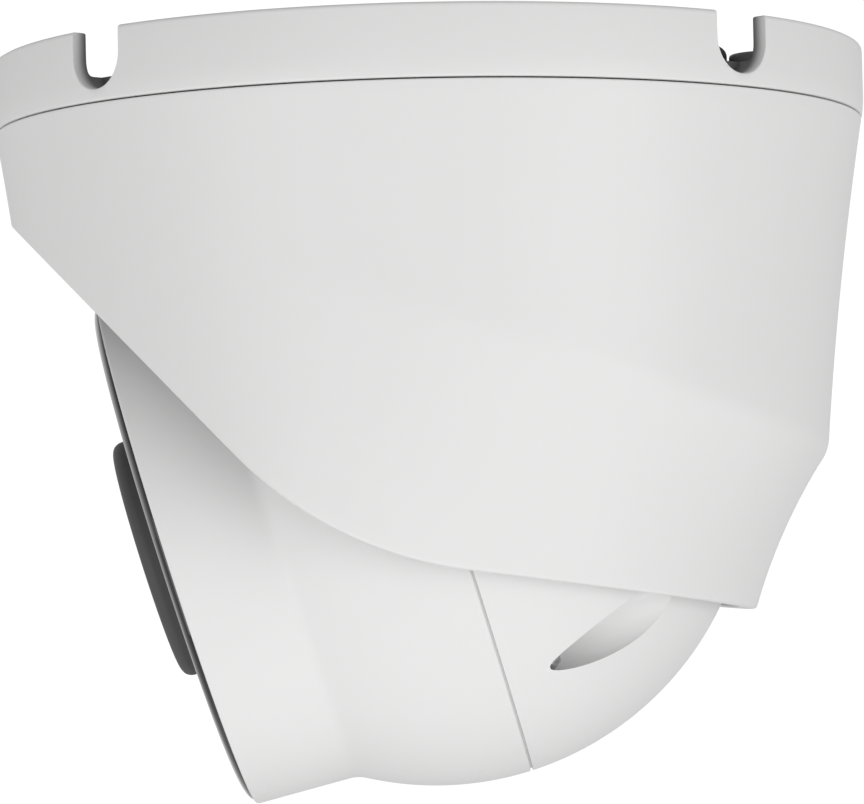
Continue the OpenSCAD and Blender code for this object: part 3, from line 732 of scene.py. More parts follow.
def notch_cutter(base, degrees):
    """A U-shaped tool for one notch, flared where it meets the outer wall and the ceiling face."""
    half = base.notch_width / MM / 2
    depth = base.notch_depth / MM
    flare = base.notch_flare / MM
    reach = base.notch_reach / MM

    def outline(grow):
        """Half the notch's outline at one radius, from the bottom up, then its mirror image."""
        points = []
        for k in range(13):
            turn = math.pi / 2 * k / 12
            points.append(((half + grow) * math.sin(turn), half - depth - (half + grow) * math.cos(turn)))
        for k in range(1, 6):
            turn = math.pi / 2 * k / 5
            points.append((half + grow + flare * (1 - math.cos(turn)), -flare + flare * math.sin(turn)))
        points.append((half + grow + flare, 2.0))
        return points + [(-t, z) for t, z in reversed(points[1:])]

    sections = [(BASE_R - reach, 0.0), (BASE_R - flare, 0.0)]
    for k in range(1, 6):
        turn = math.pi / 2 * k / 5
        sections.append((BASE_R - flare + flare * math.sin(turn), flare * (1 - math.cos(turn))))
    sections.append((BASE_R + 2.0, flare * 1.4))
    bm = bmesh.new()
    rings = [[bm.verts.new((r, t, z)) for t, z in outline(grow)] for r, grow in sections]
    for here, there in zip(rings, rings[1:]):
        bridge(bm, here, there)
    bm.faces.new(rings[0])
    bm.faces.new(rings[-1])
    tool = object_from("notch tool", bm)
    return move_to(tool, Matrix.Rotation(math.radians(degrees), 4, "Z"))


def screw_boss():
    """One hollow boss that stands up to the ceiling face, with its screw hole sunk below it."""
    outer = SCREW_HOLE_R + 2.5
    return lathe("boss", rounded([
        (0, FLOOR_TOP - 1.5, 0), (outer + 0.4, FLOOR_TOP - 1.5, 0), (outer + 0.25, FLOOR_TOP + 0.1, 0.2),
        (outer, FLOOR_TOP + 0.6, 0.4), (outer - 0.1, 0, 0.35), (0, 0, 0)]), 56)


def mounting_base(base):
    """The cup-shaped base: wall with four notches, floor, gasket seat, screw bosses and ribs."""
    wall_in = BASE_R - base.wall / MM
    edge = base.edge / MM
    floor_low = FLOOR_TOP - 2.5
    obj = lathe("base_casting", rounded([
        (wall_in, 0, 0.3), (BASE_R, 0, edge), (BASE_R, -BASE_H + 1.9, 0.5), (BASE_R - 0.16, -BASE_H, 0.35),
        (wall_in, -BASE_H, 0.3), (wall_in, floor_low, 0.5), (HUB_R + 0.05, floor_low, 0.3),
        (HUB_R + 0.05, FLOOR_TOP, 0.3), (GASKET_IN_R, FLOOR_TOP, 0.3), (GASKET_IN_R, GASKET_LOW, 0.2),
        (GASKET_R, GASKET_LOW, 0.2), (GASKET_R, FLOOR_TOP, 0.4), (wall_in, FLOOR_TOP, 0.6)]), 256)
    solids = []
    for degrees in SCREW_ANGLES:
        solids.append(move_to(screw_boss(), around(degrees, SCREW_CIRCLE_R)))
    for degrees in RIB_ANGLES:
        middle = (GASKET_R + wall_in) / 2
        rib = block("rib", (0, 0, (FLOOR_TOP - 1.8) / 2), (wall_in - GASKET_R + 1.2, 1.5, -FLOOR_TOP - 1.2))
        solids.append(move_to(rib, around(degrees, middle)))
    combine(obj, solids, "UNION")
    front, rear = math.degrees(base.front_angle), math.degrees(base.rear_angle)
    cuts = [notch_cutter(base, turn) for turn in (-front, 180 + front, rear, 180 - rear)]
    for degrees in SCREW_ANGLES:
        hole = lathe("hole", rounded([
            (0, 2, 0), (SCREW_HOLE_R + 0.5, 2, 0), (SCREW_HOLE_R + 0.5, 0.05, 0), (SCREW_HOLE_R, -0.4, 0.2),
            (SCREW_HOLE_R, -12, 0), (0, -12, 0)]), 48)
        cuts.append(move_to(hole, around(degrees, SCREW_CIRCLE_R)))
    return combine(obj, cuts, "DIFFERENCE")


# ---------------------------------------------------------------- shroud

# The round wall narrows on the way down by the taper, and less and less so by the hollow.
WALL_TAPER = 0.17
WALL_HOLLOW = 0.0011
# Between these bearings from the rear the neck turns into the round wall.
FADE_FROM = math.radians(70)
FADE_TO = math.radians(125)
# The neck has its rear gap this far below the crease, and is an even oval from the blend's depth on.
NECK_REAR_DROP = 21.6
NECK_BLEND_DROP = 10.0
# It has its side gap this far below the ball centre, along the lean.
NECK_SIDE_DROP = 13.0
# Length along the lean that one step of t covers below the crease.
NECK_SPAN = 40.0


def wall_radius(depth, inset):
    """Radius of the shroud's round wall at a depth below the seam, in millimetres."""
    return SHROUD_R - WALL_TAPER * depth + WALL_HOLLOW * depth * depth - inset


class ShroudShape:
    """The shroud's surface: a drafted round wall above a leaning crease, and a neck below it."""

    def __init__(self, shroud):
        self.sin = math.sin(shroud.lean)
        self.cos = math.cos(shroud.lean)
        self.wall = shroud.wall / MM
        self.crease_q = -shroud.crease_rise / MM
        self.rear = BALL_R + (shroud.rear_gap + shroud.wall) / MM
        self.side = BALL_R + (shroud.side_gap + shroud.wall) / MM
        self.fillet = shroud.crease_fillet / MM
        self.edge = shroud.edge / MM
        self.lip = shroud.lip / MM
        self.slopes = shroud.front_slope, shroud.rear_slope
        self.knee = Vector((-shroud.knee_ahead, -shroud.knee_below)) / MM
        self.knee_radius = shroud.knee_radius / MM
        self.crease_rear = self.across(self.on_plane(0.0, self.crease_q, 0.0))
        crease_front = self.across(self.on_plane(math.pi, self.crease_q, 0.0))
        self.middle = (self.crease_rear + crease_front) / 2
        self.ahead = self.middle - crease_front
        self.crease_half = self.on_plane(math.radians(98), self.crease_q, 0.0).x

    def across(self, point):
        """How far behind the leaning axis a point lies."""
        return point.y * self.cos - point.z * self.sin

    def on_wall(self, bearing, depth, inset):
        """A point of the round wall, measured from the ball centre."""
        r = wall_radius(depth, inset)
        return Vector((r * math.sin(bearing), r * math.cos(bearing), BALL_DROP - depth))

    def on_plane(self, bearing, q, inset):
        """Where the round wall passes the plane at q along the leaning axis."""
        depth = BALL_DROP / 2
        for _ in range(9):
            y = wall_radius(depth, inset) * math.cos(bearing)
            depth = BALL_DROP - (-q - self.sin * y) / self.cos
        return self.on_wall(bearing, depth, inset)

    def on_neck(self, bearing, q, inset):
        """A point of the neck: an oval behind and beside the ball that eases into the wall ahead."""
        turn = min(bearing, 2 * math.pi - bearing)
        t = min(1.0, max(0.0, (turn - FADE_FROM) / (FADE_TO - FADE_FROM)))
        fade = t * t * (3 - 2 * t)
        crease = self.on_plane(bearing, self.crease_q, inset)
        drop = q - self.crease_q
        curve = (1 - min(1.0, drop / NECK_REAR_DROP)) ** 2
        reach = start_reach = self.ahead
        if math.cos(bearing) > 0:
            reach = self.rear + (self.crease_rear - self.rear) * curve - self.middle
            start_reach = self.crease_rear - self.middle
        half = self.crease_half + (self.side - self.crease_half) * drop / (NECK_SIDE_DROP - self.crease_q)
        oval_x = (half - inset) * math.sin(bearing)
        oval_p = self.middle + (reach - inset) * math.cos(bearing)
        start_x = (self.crease_half - inset) * math.sin(bearing)
        start_p = self.middle + (start_reach - inset) * math.cos(bearing)
        blend = max(0.0, 1 - drop / NECK_BLEND_DROP)
        oval_x += (crease.x - start_x) * blend
        oval_p += (self.across(crease) - start_p) * blend
        oval = Vector((oval_x, oval_p * self.cos - q * self.sin, -oval_p * self.sin - q * self.cos))
        return oval.lerp(self.on_plane(bearing, q, inset), fade)

    def beside(self, y, z, inset):
        """How far out the neck lies at a place behind and above the ball centre."""
        drop = -z * self.cos - y * self.sin
        behind = y * self.cos - z * self.sin
        low, high = math.radians(20), math.radians(160)
        for _ in range(30):
            bearing = (low + high) / 2
            if self.across(self.on_neck(bearing, drop, inset)) > behind:
                low = bearing
            else:
                high = bearing
        return self.on_neck(bearing, drop, inset).x

    def edge_height(self, y):
        """Height of the shroud's lower edge at a distance behind the ball centre."""
        front, rear = self.slopes
        turn = front - rear
        tangent = self.knee_radius * math.tan(turn / 2)
        start = self.knee + Vector((-math.cos(front), math.sin(front))) * tangent
        end = self.knee + Vector((math.cos(rear), -math.sin(rear))) * tangent
        if y < start.x:
            return start.y - (y - start.x) * math.tan(front)
        if y > end.x:
            return end.y - (y - end.x) * math.tan(rear)
        centre = start + Vector((math.sin(front), math.cos(front))) * self.knee_radius
        return centre.y - math.sqrt(self.knee_radius ** 2 - (y - centre.x) ** 2)

    def down(self, bearing, t, inset):
        """A point on the way down the shroud: the wall up to t = 1, then the neck."""
        if t <= 1.0:
            crease_depth = BALL_DROP - self.on_plane(bearing, self.crease_q, inset).z
            return self.on_wall(bearing, t * crease_depth - self.lip * (1 - t), inset)
        return self.on_neck(bearing, self.crease_q + (t - 1.0) * NECK_SPAN, inset)

    def end_of(self, bearing, inset):
        """How far down the way the lower edge cuts it off."""
        low, high = 0.0, 2.0
        for _ in range(40):
            middle = (low + high) / 2
            point = self.down(bearing, middle, inset)
            if point.z > self.edge_height(point.y):
                low = middle
            else:
                high = middle
        return low

    def way(self, bearing, inset, rows_above, rows_below):
        """Points down the shroud at a bearing, rounded at the crease."""
        end = self.end_of(bearing, inset)
        turn = min(1.0, end * 0.96)
        corner = self.down(bearing, turn, inset)
        above = self.down(bearing, turn * 0.9, inset) - corner
        below = self.down(bearing, turn + (end - turn) * 0.2, inset) - corner
        reach = min(self.fillet, 0.4 * (self.down(bearing, end, inset) - corner).length)
        start = corner + above.normalized() * reach
        top = self.down(bearing, 0.0, inset)
        span_above = turn * (1 - reach / (top - corner).length)
        points = [self.down(bearing, span_above * k / rows_above, inset) for k in range(rows_above)]
        points += turned(start, corner, corner + below.normalized() * reach, 6)
        last = self.down(bearing, end, inset)
        first = turn + (end - turn) * min(0.9, reach / max(1e-6, (last - corner).length))
        for k in range(1, rows_below + 1):
            points.append(self.down(bearing, first + (end - first) * k / rows_below, inset))
        return points

    def section(self, bearing):
        """The closed section of the shroud's wall at a bearing."""
        outside = self.way(bearing, 0.0, 16, 20)
        inside = self.way(bearing, self.wall, 8, 10)
        corners = corner_arc(inside[0], outside[0], outside[1], 0.25)
        corners += outside[1:-2]
        corners += corner_arc(outside[-3], outside[-1], inside[-1], self.edge)
        corners += corner_arc(outside[-1], inside[-1], inside[-3], self.edge * 0.6)
        corners += list(reversed(inside))[2:]
        return corners


def corner_arc(before, corner, after, radius):
    """Points that round off a corner between two neighbours."""
    one = before - corner
    two = after - corner
    reach = min(radius, 0.6 * one.length, 0.45 * two.length)
    return turned(corner + one.normalized() * reach, corner, corner + two.normalized() * reach, 4)


def shroud_shell(settings, bearings=300):
    """The shroud as one closed wall."""
    shape = ShroudShape(settings)
    bm = bmesh.new()
    columns = []
    for k in range(bearings):
        section = shape.section(2 * math.pi * k / bearings)
        columns.append([bm.verts.new(point + Vector((0, 0, BALL_Z))) for point in section])
    for k in range(bearings):
        bridge(bm, columns[k], columns[(k + 1) % bearings])
    return object_from("outer_shroud", bm, 50)


def across_ball(name, outline, side, segments=64):
    """A turned piece laid along the tilt axis, on one side of the ball, heights outward."""
    return move_to(lathe(name, outline, segments), Matrix.Translation(BALL) @ sideways(side))


def shroud(settings):
    """The shroud with the seat for the turret plate and the two bosses for the tilt pins."""
    obj = shroud_shell(settings)
    seat = lathe("seat", rounded([
        (PLATE_R - 3.4, PLATE_LOW, 0.25), (PLATE_R + 0.9, PLATE_LOW, 0), (PLATE_R + 0.6, PLATE_LOW - 2, 0),
        (PLATE_R - 3.4, PLATE_LOW - 2, 0.4)]), 200)
    face = half_width("tilt_washers") + 0.3
    shape = ShroudShape(settings)
    solids = [seat]
    for side in (-1, 1):
        boss = across_ball("boss", band(0, 6, face, face + 2.6, (0, 0.5, 0, 0)), side)
        for vertex in boss.data.vertices:
            if abs(vertex.co.x) / MM > face + 1:
                offset = (vertex.co - BALL) / MM
                vertex.co.x = side * shape.beside(offset.y, offset.z, shape.wall / 2) * MM
        solids.append(boss)
    combine(obj, solids, "UNION", 50)
    hole = band(0, PIN_R, face - 1, face + 1.7, (0, 0, 0, 0))
    holes = [across_ball("hole", hole, side, 40) for side in (-1, 1)]
    return combine(obj, holes, "DIFFERENCE", 50)


# ---------------------------------------------------------------- fasteners

def machine_screw(shank_r, shank_low, head_r, head_low, head_top, drive="cross"):
    """A pan-head screw that stands along +Z, with a cross or a hexagon sunk in its head."""
    rise = head_top - head_low
    obj = lathe("screw", rounded([
        (0, shank_low, 0), (shank_r * 0.85, shank_low, 0), (shank_r, shank_low + 0.3, 0.1),
        (shank_r, head_low, 0), (head_r, head_low, 0.08), (head_r, head_low + rise * 0.55, 0.25),
        (head_r * 0.72, head_top, 0.3), (0, head_top, 0)]), 40)
    if drive == "hexagon":
        tools = [prism("drive", polygon(head_r * 0.53, 6), head_top - rise * 0.85, head_top + 1)]
    else:
        arm = head_r * 1.1
        tools = [block("drive", (0, 0, head_top), (arm, arm * 0.22, rise * 1.1)),
                 block("drive", (0, 0, head_top), (arm * 0.22, arm, rise * 1.1))]
    combine(obj, tools, "DIFFERENCE")
    return soften(obj, 0.05)


# ---------------------------------------------------------------- pan bearing

PLATE_SCREW_ANGLES = (20, 160, 270)
PLATE_SCREW_R = PLATE_R - 1.7
RETAINER_SCREW_R = (HUB_R + HUB_BORE_R) / 2
SMALL_SHANK_R = 1.0


def shank_holes(angles, circle_r, low, high):
    """Tools for the holes of the small screws on a circle."""
    outline = polygon(SMALL_SHANK_R, 32)
    return [move_to(prism("hole", outline, low - 1, high + 1), around(degrees, circle_r))
            for degrees in angles]


def small_screws(name, node, angles, circle_r, head_r, head_h):
    """The small screws of a CAD node, on a circle with their heads up."""
    low, high = heights(node)
    return merge_pieces(name, [
        move_to(machine_screw(SMALL_SHANK_R, low, head_r, high - head_h, high), around(degrees, circle_r))
        for degrees in angles])


def base_gasket():
    """The soft ring that seals the cable's way to the ceiling."""
    low, high = heights("base_gasket")
    return lathe("ceiling_gasket", band(GASKET_IN_R, GASKET_R, low, high, (0.1, 0.1, 0.5, 0.5), 6), 200)


def turret_plate():
    """The plate and hub that the turret turns on, with the driver's way through it."""
    rim = PLATE_LOW + 2
    service_r = SCREW_HOLE_R * 2
    obj = lathe("turret_hub_plate", rounded([
        (HUB_BORE_R, PLATE_LOW, 0.3), (PLATE_R - 0.02, PLATE_LOW, 0.25), (PLATE_R - 0.02, rim, 0.25),
        (HUB_R, rim, 0.5), (HUB_R, RETAINER_LOW, 0.25), (HUB_BORE_R, RETAINER_LOW, 0.25)]), 224)
    service = lathe("hole", rounded([
        (0, rim + 1, 0), (service_r + 0.6, rim + 1, 0), (service_r + 0.6, rim + 0.01, 0),
        (service_r, rim - 0.4, 0.1), (service_r, PLATE_LOW - 1, 0), (0, PLATE_LOW - 1, 0)]), 56)
    holes = [move_to(service, around(-90, SCREW_CIRCLE_R))]
    holes += shank_holes(PLATE_SCREW_ANGLES, PLATE_SCREW_R, PLATE_LOW, rim)
    return combine(obj, holes, "DIFFERENCE")


def plate_screws():
    """The three small screws that hold the shroud to its plate."""
    return small_screws("plate_screws", "turret_plate_screws", PLATE_SCREW_ANGLES, PLATE_SCREW_R, 1.3, 0.9)


def pan_retainer():
    """The ring that keeps the hub from dropping out of the base."""
    outline = band(HUB_BORE_R, COLLAR_R, RETAINER_LOW, RETAINER_TOP, (0.25, 0.2, 0.4, 0.4))
    holes = shank_holes(SCREW_ANGLES, RETAINER_SCREW_R, RETAINER_LOW, RETAINER_TOP)
    return combine(lathe("pan_retainer", outline, 200), holes, "DIFFERENCE")


def retainer_screws():
    """The three screws through the retainer into the hub."""
    return small_screws("pan_retainer_screws", "retainer_screws", SCREW_ANGLES, RETAINER_SCREW_R, 1.7, 1)


# ---------------------------------------------------------------- tilt yoke

YOKE_IN_R = BALL_R + 0.4
YOKE_OUT_R = YOKE_IN_R + 1.5
STRAP_HALF = 7.0
EAR_R = 6.5
PIN_R = 2.5
JOURNAL_R = 7.5
DISC_FACE = 1.4 - BALL_R


def yoke_strap():
    """The strap alone: half a hoop of a hollow ball, as wide as the strap."""
    bm = bmesh.new()
    rows = [STRAP_HALF * (i - 6) / 6 for i in range(13)]
    places = [(YOKE_IN_R, y) for y in rows] + [(YOKE_OUT_R, y) for y in reversed(rows)]
    columns = []
    for k in range(97):
        turn = math.pi * k / 96
        direction = Vector((math.cos(turn), 0, -math.sin(turn)))
        points = [direction * math.sqrt(radius ** 2 - y * y) + Vector((0, y, 0)) for radius, y in places]
        columns.append([bm.verts.new(point) for point in points])
    for here, there in zip(columns, columns[1:]):
        bridge(bm, here, there)
    bm.faces.new(columns[0])
    bm.faces.new(columns[-1])
    return object_from("yoke_strap", bm)


def tilt_yoke():
    """The pressed strap round the back of the ball, with its ears and its bearing disc."""
    obj = yoke_strap()
    rows = [STRAP_HALF * i / 8 for i in range(9)]
    cap = [(r, math.sqrt(YOKE_IN_R ** 2 - r * r)) for r in rows]
    cap += [(r, math.sqrt(YOKE_OUT_R ** 2 - r * r)) for r in reversed(rows)]
    ear = band(0, EAR_R, BALL_R + 0.6, YOKE_OUT_R + 0.4, (0, 0.2, 0.3, 0))
    solids = [move_to(lathe("ear", outline, 56), sideways(side))
              for side in (-1, 1) for outline in (cap, ear)]
    reach = math.sqrt(BALL_R ** 2 - (BALL_R - 2) ** 2) + 0.6
    solids.append(lathe("disc", band(0, reach, YOKE_BACK, DISC_FACE, (0, 0.3, 0.3, 0)), 96))
    combine(obj, solids, "UNION")
    tools = [block("back", (0, 0, YOKE_BACK - 10), (80, 80, 20)),
             prism("bore", polygon(JOURNAL_R + 0.05, 96), -60, 0)]
    for side in (-1, 1):
        hole = prism("hole", polygon(PIN_R + 0.05, 40), 30, 60)
        tools.append(move_to(hole, sideways(side)))
    combine(obj, tools, "DIFFERENCE")
    return move_to(soften(obj, 0.18), LENS_FRAME)


def tilt_washers():
    """The two friction washers between the yoke's ears and the shroud."""
    face = half_width("tilt_washers")
    outline = band(PIN_R + 0.1, EAR_R - 0.5, face - 0.6, face, (0.1, 0.15, 0.15, 0.1))
    return merge_pieces("friction_washers", [across_ball("washer", outline, side) for side in (-1, 1)])


def tilt_pins():
    """The two blind pins that carry the yoke."""
    outline = band(0, PIN_R, BALL_R + 0.3, half_width("tilt_pins"), (0, 0.4, 0.3, 0))
    return merge_pieces("yoke_pins", [across_ball("pin", outline, side, 48) for side in (-1, 1)])


def roll_clip():
    """The split clip that holds the ball's journal in the yoke."""
    outline = band(JOURNAL_R, JOURNAL_R + 2, CLIP_BACK, CLIP_FRONT, (0.15, 0.25, 0.25, 0.15))
    gap = block("gap", (0, JOURNAL_R + 1.5, (CLIP_BACK + CLIP_FRONT) / 2), (1.6, 6, 4))
    return move_to(combine(lathe("journal_clip", outline, 96), [gap], "DIFFERENCE"), LENS_FRAME)


# ---------------------------------------------------------------- ball

GLAND_SEAT_R = 4.6
SHANK_HOLE_R = 1.65
SEAM_R = math.sqrt(BALL_R ** 2 - SEAM_HALF ** 2)


def sphere_arc(radius, start, end, steps):
    """Corners, none of them rounded, along a sphere between two heights on the lens axis."""
    first, last = math.asin(start / radius), math.asin(end / radius)
    points = []
    for k in range(steps + 1):
        turn = first + (last - first) * k / steps
        points.append((radius * math.cos(turn), radius * math.sin(turn), 0.0))
    return points


def pocket_places(ball):
    """Places of the four housing screws in the lens frame."""
    reach = BALL_R - ball.pocket_inset / MM
    return [around(degrees, reach) for degrees in (45, 135, 225, 315)]


def at_pockets(ball, name, outline, segments):
    """One object of four turned solids, one at each housing screw."""
    solids = [move_to(lathe(name, outline, segments), place) for place in pocket_places(ball)]
    return merge_pieces(name, solids)


def joint_bore(ball):
    """Radius of the bore through the joint flanges."""
    return BALL_R - (ball.pocket_inset + ball.pocket / 2) / MM - 1.71


def rear_half(ball):
    """The rear half of the ball: shell, journal, and the pockets for the housing screws."""
    wall = ball.wall / MM
    floor = ball.pocket_floor / MM
    radius = ball.pocket / MM / 2
    bore = joint_bore(ball)
    pole = 2 - BALL_R
    outline = rounded(
        [(bore, -SEAM_HALF, 0.2), (SEAM_R, -SEAM_HALF, ball.edge / MM)]
        + sphere_arc(BALL_R, -SEAM_HALF - 0.8, pole + 0.25, 48)
        + [(math.sqrt(BALL_R ** 2 - pole ** 2), pole, 0.3), (JOURNAL_R, pole, 0.3)]
        + [(JOURNAL_R, JOURNAL_END, 0.35), (GLAND_SEAT_R, JOURNAL_END, 0.3), (GLAND_SEAT_R, pole + wall, 0.2)]
        + sphere_arc(BALL_R - wall, pole + wall, -floor, 30)
        + [(bore, -floor, 0.3)])
    obj = lathe("ball_rear_shell", outline, 224)
    column = [(0, -BALL_R), (radius + 1.6, -BALL_R), (radius + 1.6, -floor + 0.5), (0, -floor + 0.5)]
    columns = at_pockets(ball, "columns", column, 48)
    end = BALL_R - 0.21
    inner_ball = [(r, z) for r, z, _ in sphere_arc(BALL_R - 0.2, -end, end, 60)] + [(0, end), (0, -end)]
    combine(columns, [lathe("inside", inner_ball, 128)], "INTERSECT")
    combine(obj, [columns], "UNION")
    pocket = rounded([
        (0, -BALL_R - 1, 0), (radius, -BALL_R - 1, 0), (radius, -floor, 0.4), (SHANK_HOLE_R, -floor, 0.1),
        (SHANK_HOLE_R, 2, 0), (0, 2, 0)])
    combine(obj, [at_pockets(ball, "pockets", pocket, 64)], "DIFFERENCE", 34)
    return move_to(obj, LENS_FRAME)


def front_half(ball):
    """The front half of the ball, which turns into the snout that carries the window."""
    floor = ball.pocket_floor / MM
    start = ball.blend_start / MM
    end = ball.blend_end / MM
    snout = BALL_R - ball.snout_inset / MM
    base = snout + ball.snout_draft / MM
    bore = snout - 1.9
    ledge = bore - 1.9
    shelf = WINDOW_BACK - 5.8
    seal = along_lens("window_seal")[0]
    edge_r = math.sqrt(BALL_R ** 2 - start ** 2)
    tongue = BALL_R - ball.tongue_depth / MM
    meet = start + (edge_r - base) / math.tan(math.asin(start / BALL_R))
    outline = (
        [(joint_bore(ball), SEAM_HALF, 0.1), (tongue - 3, SEAM_HALF, 0), (tongue - 3, -SEAM_HALF + 0.02, 0)]
        + [(tongue, -SEAM_HALF + 0.02, 0), (tongue, SEAM_HALF, 0)]
        + [(SEAM_R, SEAM_HALF, ball.edge / MM)]
        + sphere_arc(BALL_R, SEAM_HALF + 0.8, start, 30)
        + [(base + 0.02, meet, end - meet), (snout, SNOUT_FRONT - 0.3, 0.0)]
        + [(snout - 0.12, SNOUT_FRONT, 0.15), (WINDOW_R + 0.2, SNOUT_FRONT, 0.15)]
        + [(WINDOW_R + 0.2, seal, 0.1), (ledge, seal, 0.1)]
        + [(ledge, seal - 1.5, 0.1), (bore, seal - 1.5, 0.2), (bore, shelf, 0.2), (ledge, shelf, 0.2)]
        + [(ledge, shelf - 1.7, 0.2), (bore, shelf - 1.7, 0.2), (bore, start, 0.5)]
        + sphere_arc(BALL_R - ball.wall / MM, start - 1, floor, 14)
        + [(joint_bore(ball), floor, 0.3)])
    return lens_lathe("ball_front_shell", rounded(outline, 6), 224)


def housing_seal():
    """The sealing ring that closes the seam round the ball."""
    outer = lens_radius("housing_seal")
    half = SEAM_HALF - 0.01
    return lens_lathe("seam_seal", band(outer - 1.6, outer, -half, half, [0.05] * 4), 160)


def housing_screws(ball):
    """The four screws at the bottom of the ball's pockets, heads to the rear."""
    floor = ball.pocket_floor / MM
    screws = []
    for place in pocket_places(ball):
        screw = machine_screw(1.5, -6.5, 2.75, floor, floor + 2.4, "hexagon")
        move_to(screw, Matrix.Rotation(math.pi, 4, "X"))
        screws.append(move_to(screw, LENS_FRAME @ place))
    return merge_pieces("ball_screws", screws)


def cable_gland():
    """The soft ribbed inlet for the cable at the back of the ball."""
    end, start = along_lens("cable_gland")
    mouth = 2.6
    lip = lens_radius("cable_gland")
    ridges = []
    for k in range(3):
        at = end + 0.55 + 1.1 * k
        ridges += [(4.3, at + 0.3, 0.1), (4.55, at + 0.55, 0.15), (4.3, at + 0.8, 0.1)]
    return lens_lathe("cable_inlet", rounded(
        [(mouth, end, 0.4), (4.35, end, 0.4)] + ridges
        + [(4.55, -BALL_R + 4.6, 0), (lip, -BALL_R + 4.62, 0.2), (lip, start, 0.2), (mouth, start, 0.3)]), 72)


# ---------------------------------------------------------------- window and lens

def front_window():
    """The thick black window with its rounded rim and the hole for the lens."""
    hole = RING_R - 2.9
    return lens_lathe("black_window", rounded([
        (hole, WINDOW_BACK, 0.1), (WINDOW_R, WINDOW_BACK, 0.1), (WINDOW_R, WINDOW_FACE - 0.8, 0.35),
        (WINDOW_R - 0.55, WINDOW_FACE - 0.4, 0.35), (WINDOW_R - 1.45, WINDOW_FACE - 0.1, 0.4),
        (WINDOW_R - 2.2, WINDOW_FACE, 0.4), (hole, WINDOW_FACE, 0.15)], 6), 224)


def window_seal():
    """The soft ring that the window sits on."""
    back, front = along_lens("window_seal")
    outer = lens_radius("window_seal")
    return lens_lathe("window_gasket", band(outer - 3, outer, back, front, [0.1] * 4), 160)


def lens_ring():
    """The raised ring round the lens, with stepped rings down its mouth."""
    spigot = RING_R - 3.0
    front = RING_FRONT - 0.2
    seat = RING_BACK - 0.8
    outline = [(spigot, RING_BACK, 0), (RING_R, RING_BACK, 0.15), (RING_R, front - 1.1, 0.6),
               (RING_R - 0.4, front - 0.35, 0.5), (RING_R - 1.2, front, 0.5), (RING_R - 2.2, front, 0.35)]
    top = Vector((RING_R - 2.3, front - 0.25))
    foot = Vector((GLASS_R - 0.85, GLASS_FRONT + 0.5))
    for k in range(4):
        before = top.lerp(foot, k / 4)
        after = top.lerp(foot, (k + 1) / 4)
        outline += [(before.x, after.y, 0.12), (after.x, after.y, 0.12)]
    outline += [(GLASS_R - 0.9, GLASS_FRONT + 0.02, 0.05), (GLASS_R + 0.05, GLASS_FRONT + 0.02, 0.05),
                (GLASS_R + 0.05, seat - 3.0, 0.1), (spigot, seat - 3.0, 0.2)]
    return lens_lathe("raised_lens_ring", rounded(outline), 200)


def cover_glass():
    """The flat glass in front of the lens."""
    return lens_lathe("flat_cover_glass", band(0, GLASS_R, GLASS_BACK, GLASS_FRONT, (0, 0.15, 0.15, 0)), 128)


def front_element():
    """The domed front glass of the lens."""
    back, front = along_lens("front_element")
    reach = lens_radius("front_element")
    curve = 11.6
    centre = front - curve
    outline = [(0, back), (reach - 0.3, back), (reach, back + 0.3)]
    for k in range(17):
        r = reach * (1 - k / 16)
        outline.append((r, centre + math.sqrt(curve ** 2 - r * r)))
    return lens_lathe("domed_front_glass", outline, 128)


def lens_barrel():
    """The threaded lens barrel, with a knurled bell round the front glass."""
    outline = [(4.6, BARREL_BACK, 0.1), (6.8, BARREL_BACK, 0.2)]
    bell = BARREL_FRONT - 6.6
    for k in range(17):
        at = BARREL_BACK + 1.0 + 0.7 * k
        outline += [(6.75, at, 0.05), (7.0, at + 0.3, 0.08), (6.75, at + 0.6, 0.05)]
    outline += [(7.0, bell - 0.2, 0), (7.0, bell, 0), (BELL_R, bell, 0.3), (BELL_R, bell + 1.4, 0.1),
                (BELL_R - 0.25, bell + 1.5, 0.1), (BELL_R - 0.25, bell + 1.9, 0.1), (BELL_R, bell + 2, 0.1),
                (BELL_R, BARREL_FRONT, 0.3), (8.6, BARREL_FRONT, 0.15), (8.2, BARREL_FRONT - 2.6, 0.1),
                (5, bell, 0.1), (5, BARREL_BACK + 4, 0.1), (4.6, BARREL_BACK + 3, 0.1)]
    obj = lathe("threaded_barrel", rounded(outline, 3), 96)
    notches = [move_to(prism("notch", polygon(0.35, 12), BARREL_FRONT - 3.2, BARREL_FRONT + 1),
                       around(12 * k, BELL_R + 0.1)) for k in range(30)]
    combine(obj, [merge_pieces("notches", notches)], "DIFFERENCE")
    return move_to(obj, LENS_FRAME)


# ---------------------------------------------------------------- inner pieces kept as drawn

KEPT_NODES = (
    "pan_washer", "rear_element", "lens_light_shield", "lens_holder", "ir_cut_filter", "image_sensor",
    "sensor_board", "sensor_board_screws", "board_standoffs", "main_board", "main_board_screws",
    "heat_spreader", "processor_shield", "network_header", "camera_bracket", "bracket_screws", "led_board",
    "infrared_leds", "led_cups", "light_sensor")


def dress_inner_pieces():
    """Gives the inner pieces that keep the CAD's own mesh their finishes and softly rounded edges."""
    slots = {part["node"]: part["material_slot"] for part in frame["record"]["subparts"]}
    for name in KEPT_NODES:
        node = frame["nodes"][name]
        node.data.materials.clear()
        node.data.materials.append(finish(slots[name]))
        edges = node.modifiers.new("edges", "BEVEL")
        edges.width = 0.08 * MM
        edges.segments = 1
        edges.limit_method = "ANGLE"
        edges.angle_limit = math.radians(50)
        shade(node)


# ---------------------------------------------------------------- stage

WHITE = (1, 1, 1, 1)
FLOOR_REACH = 7.0


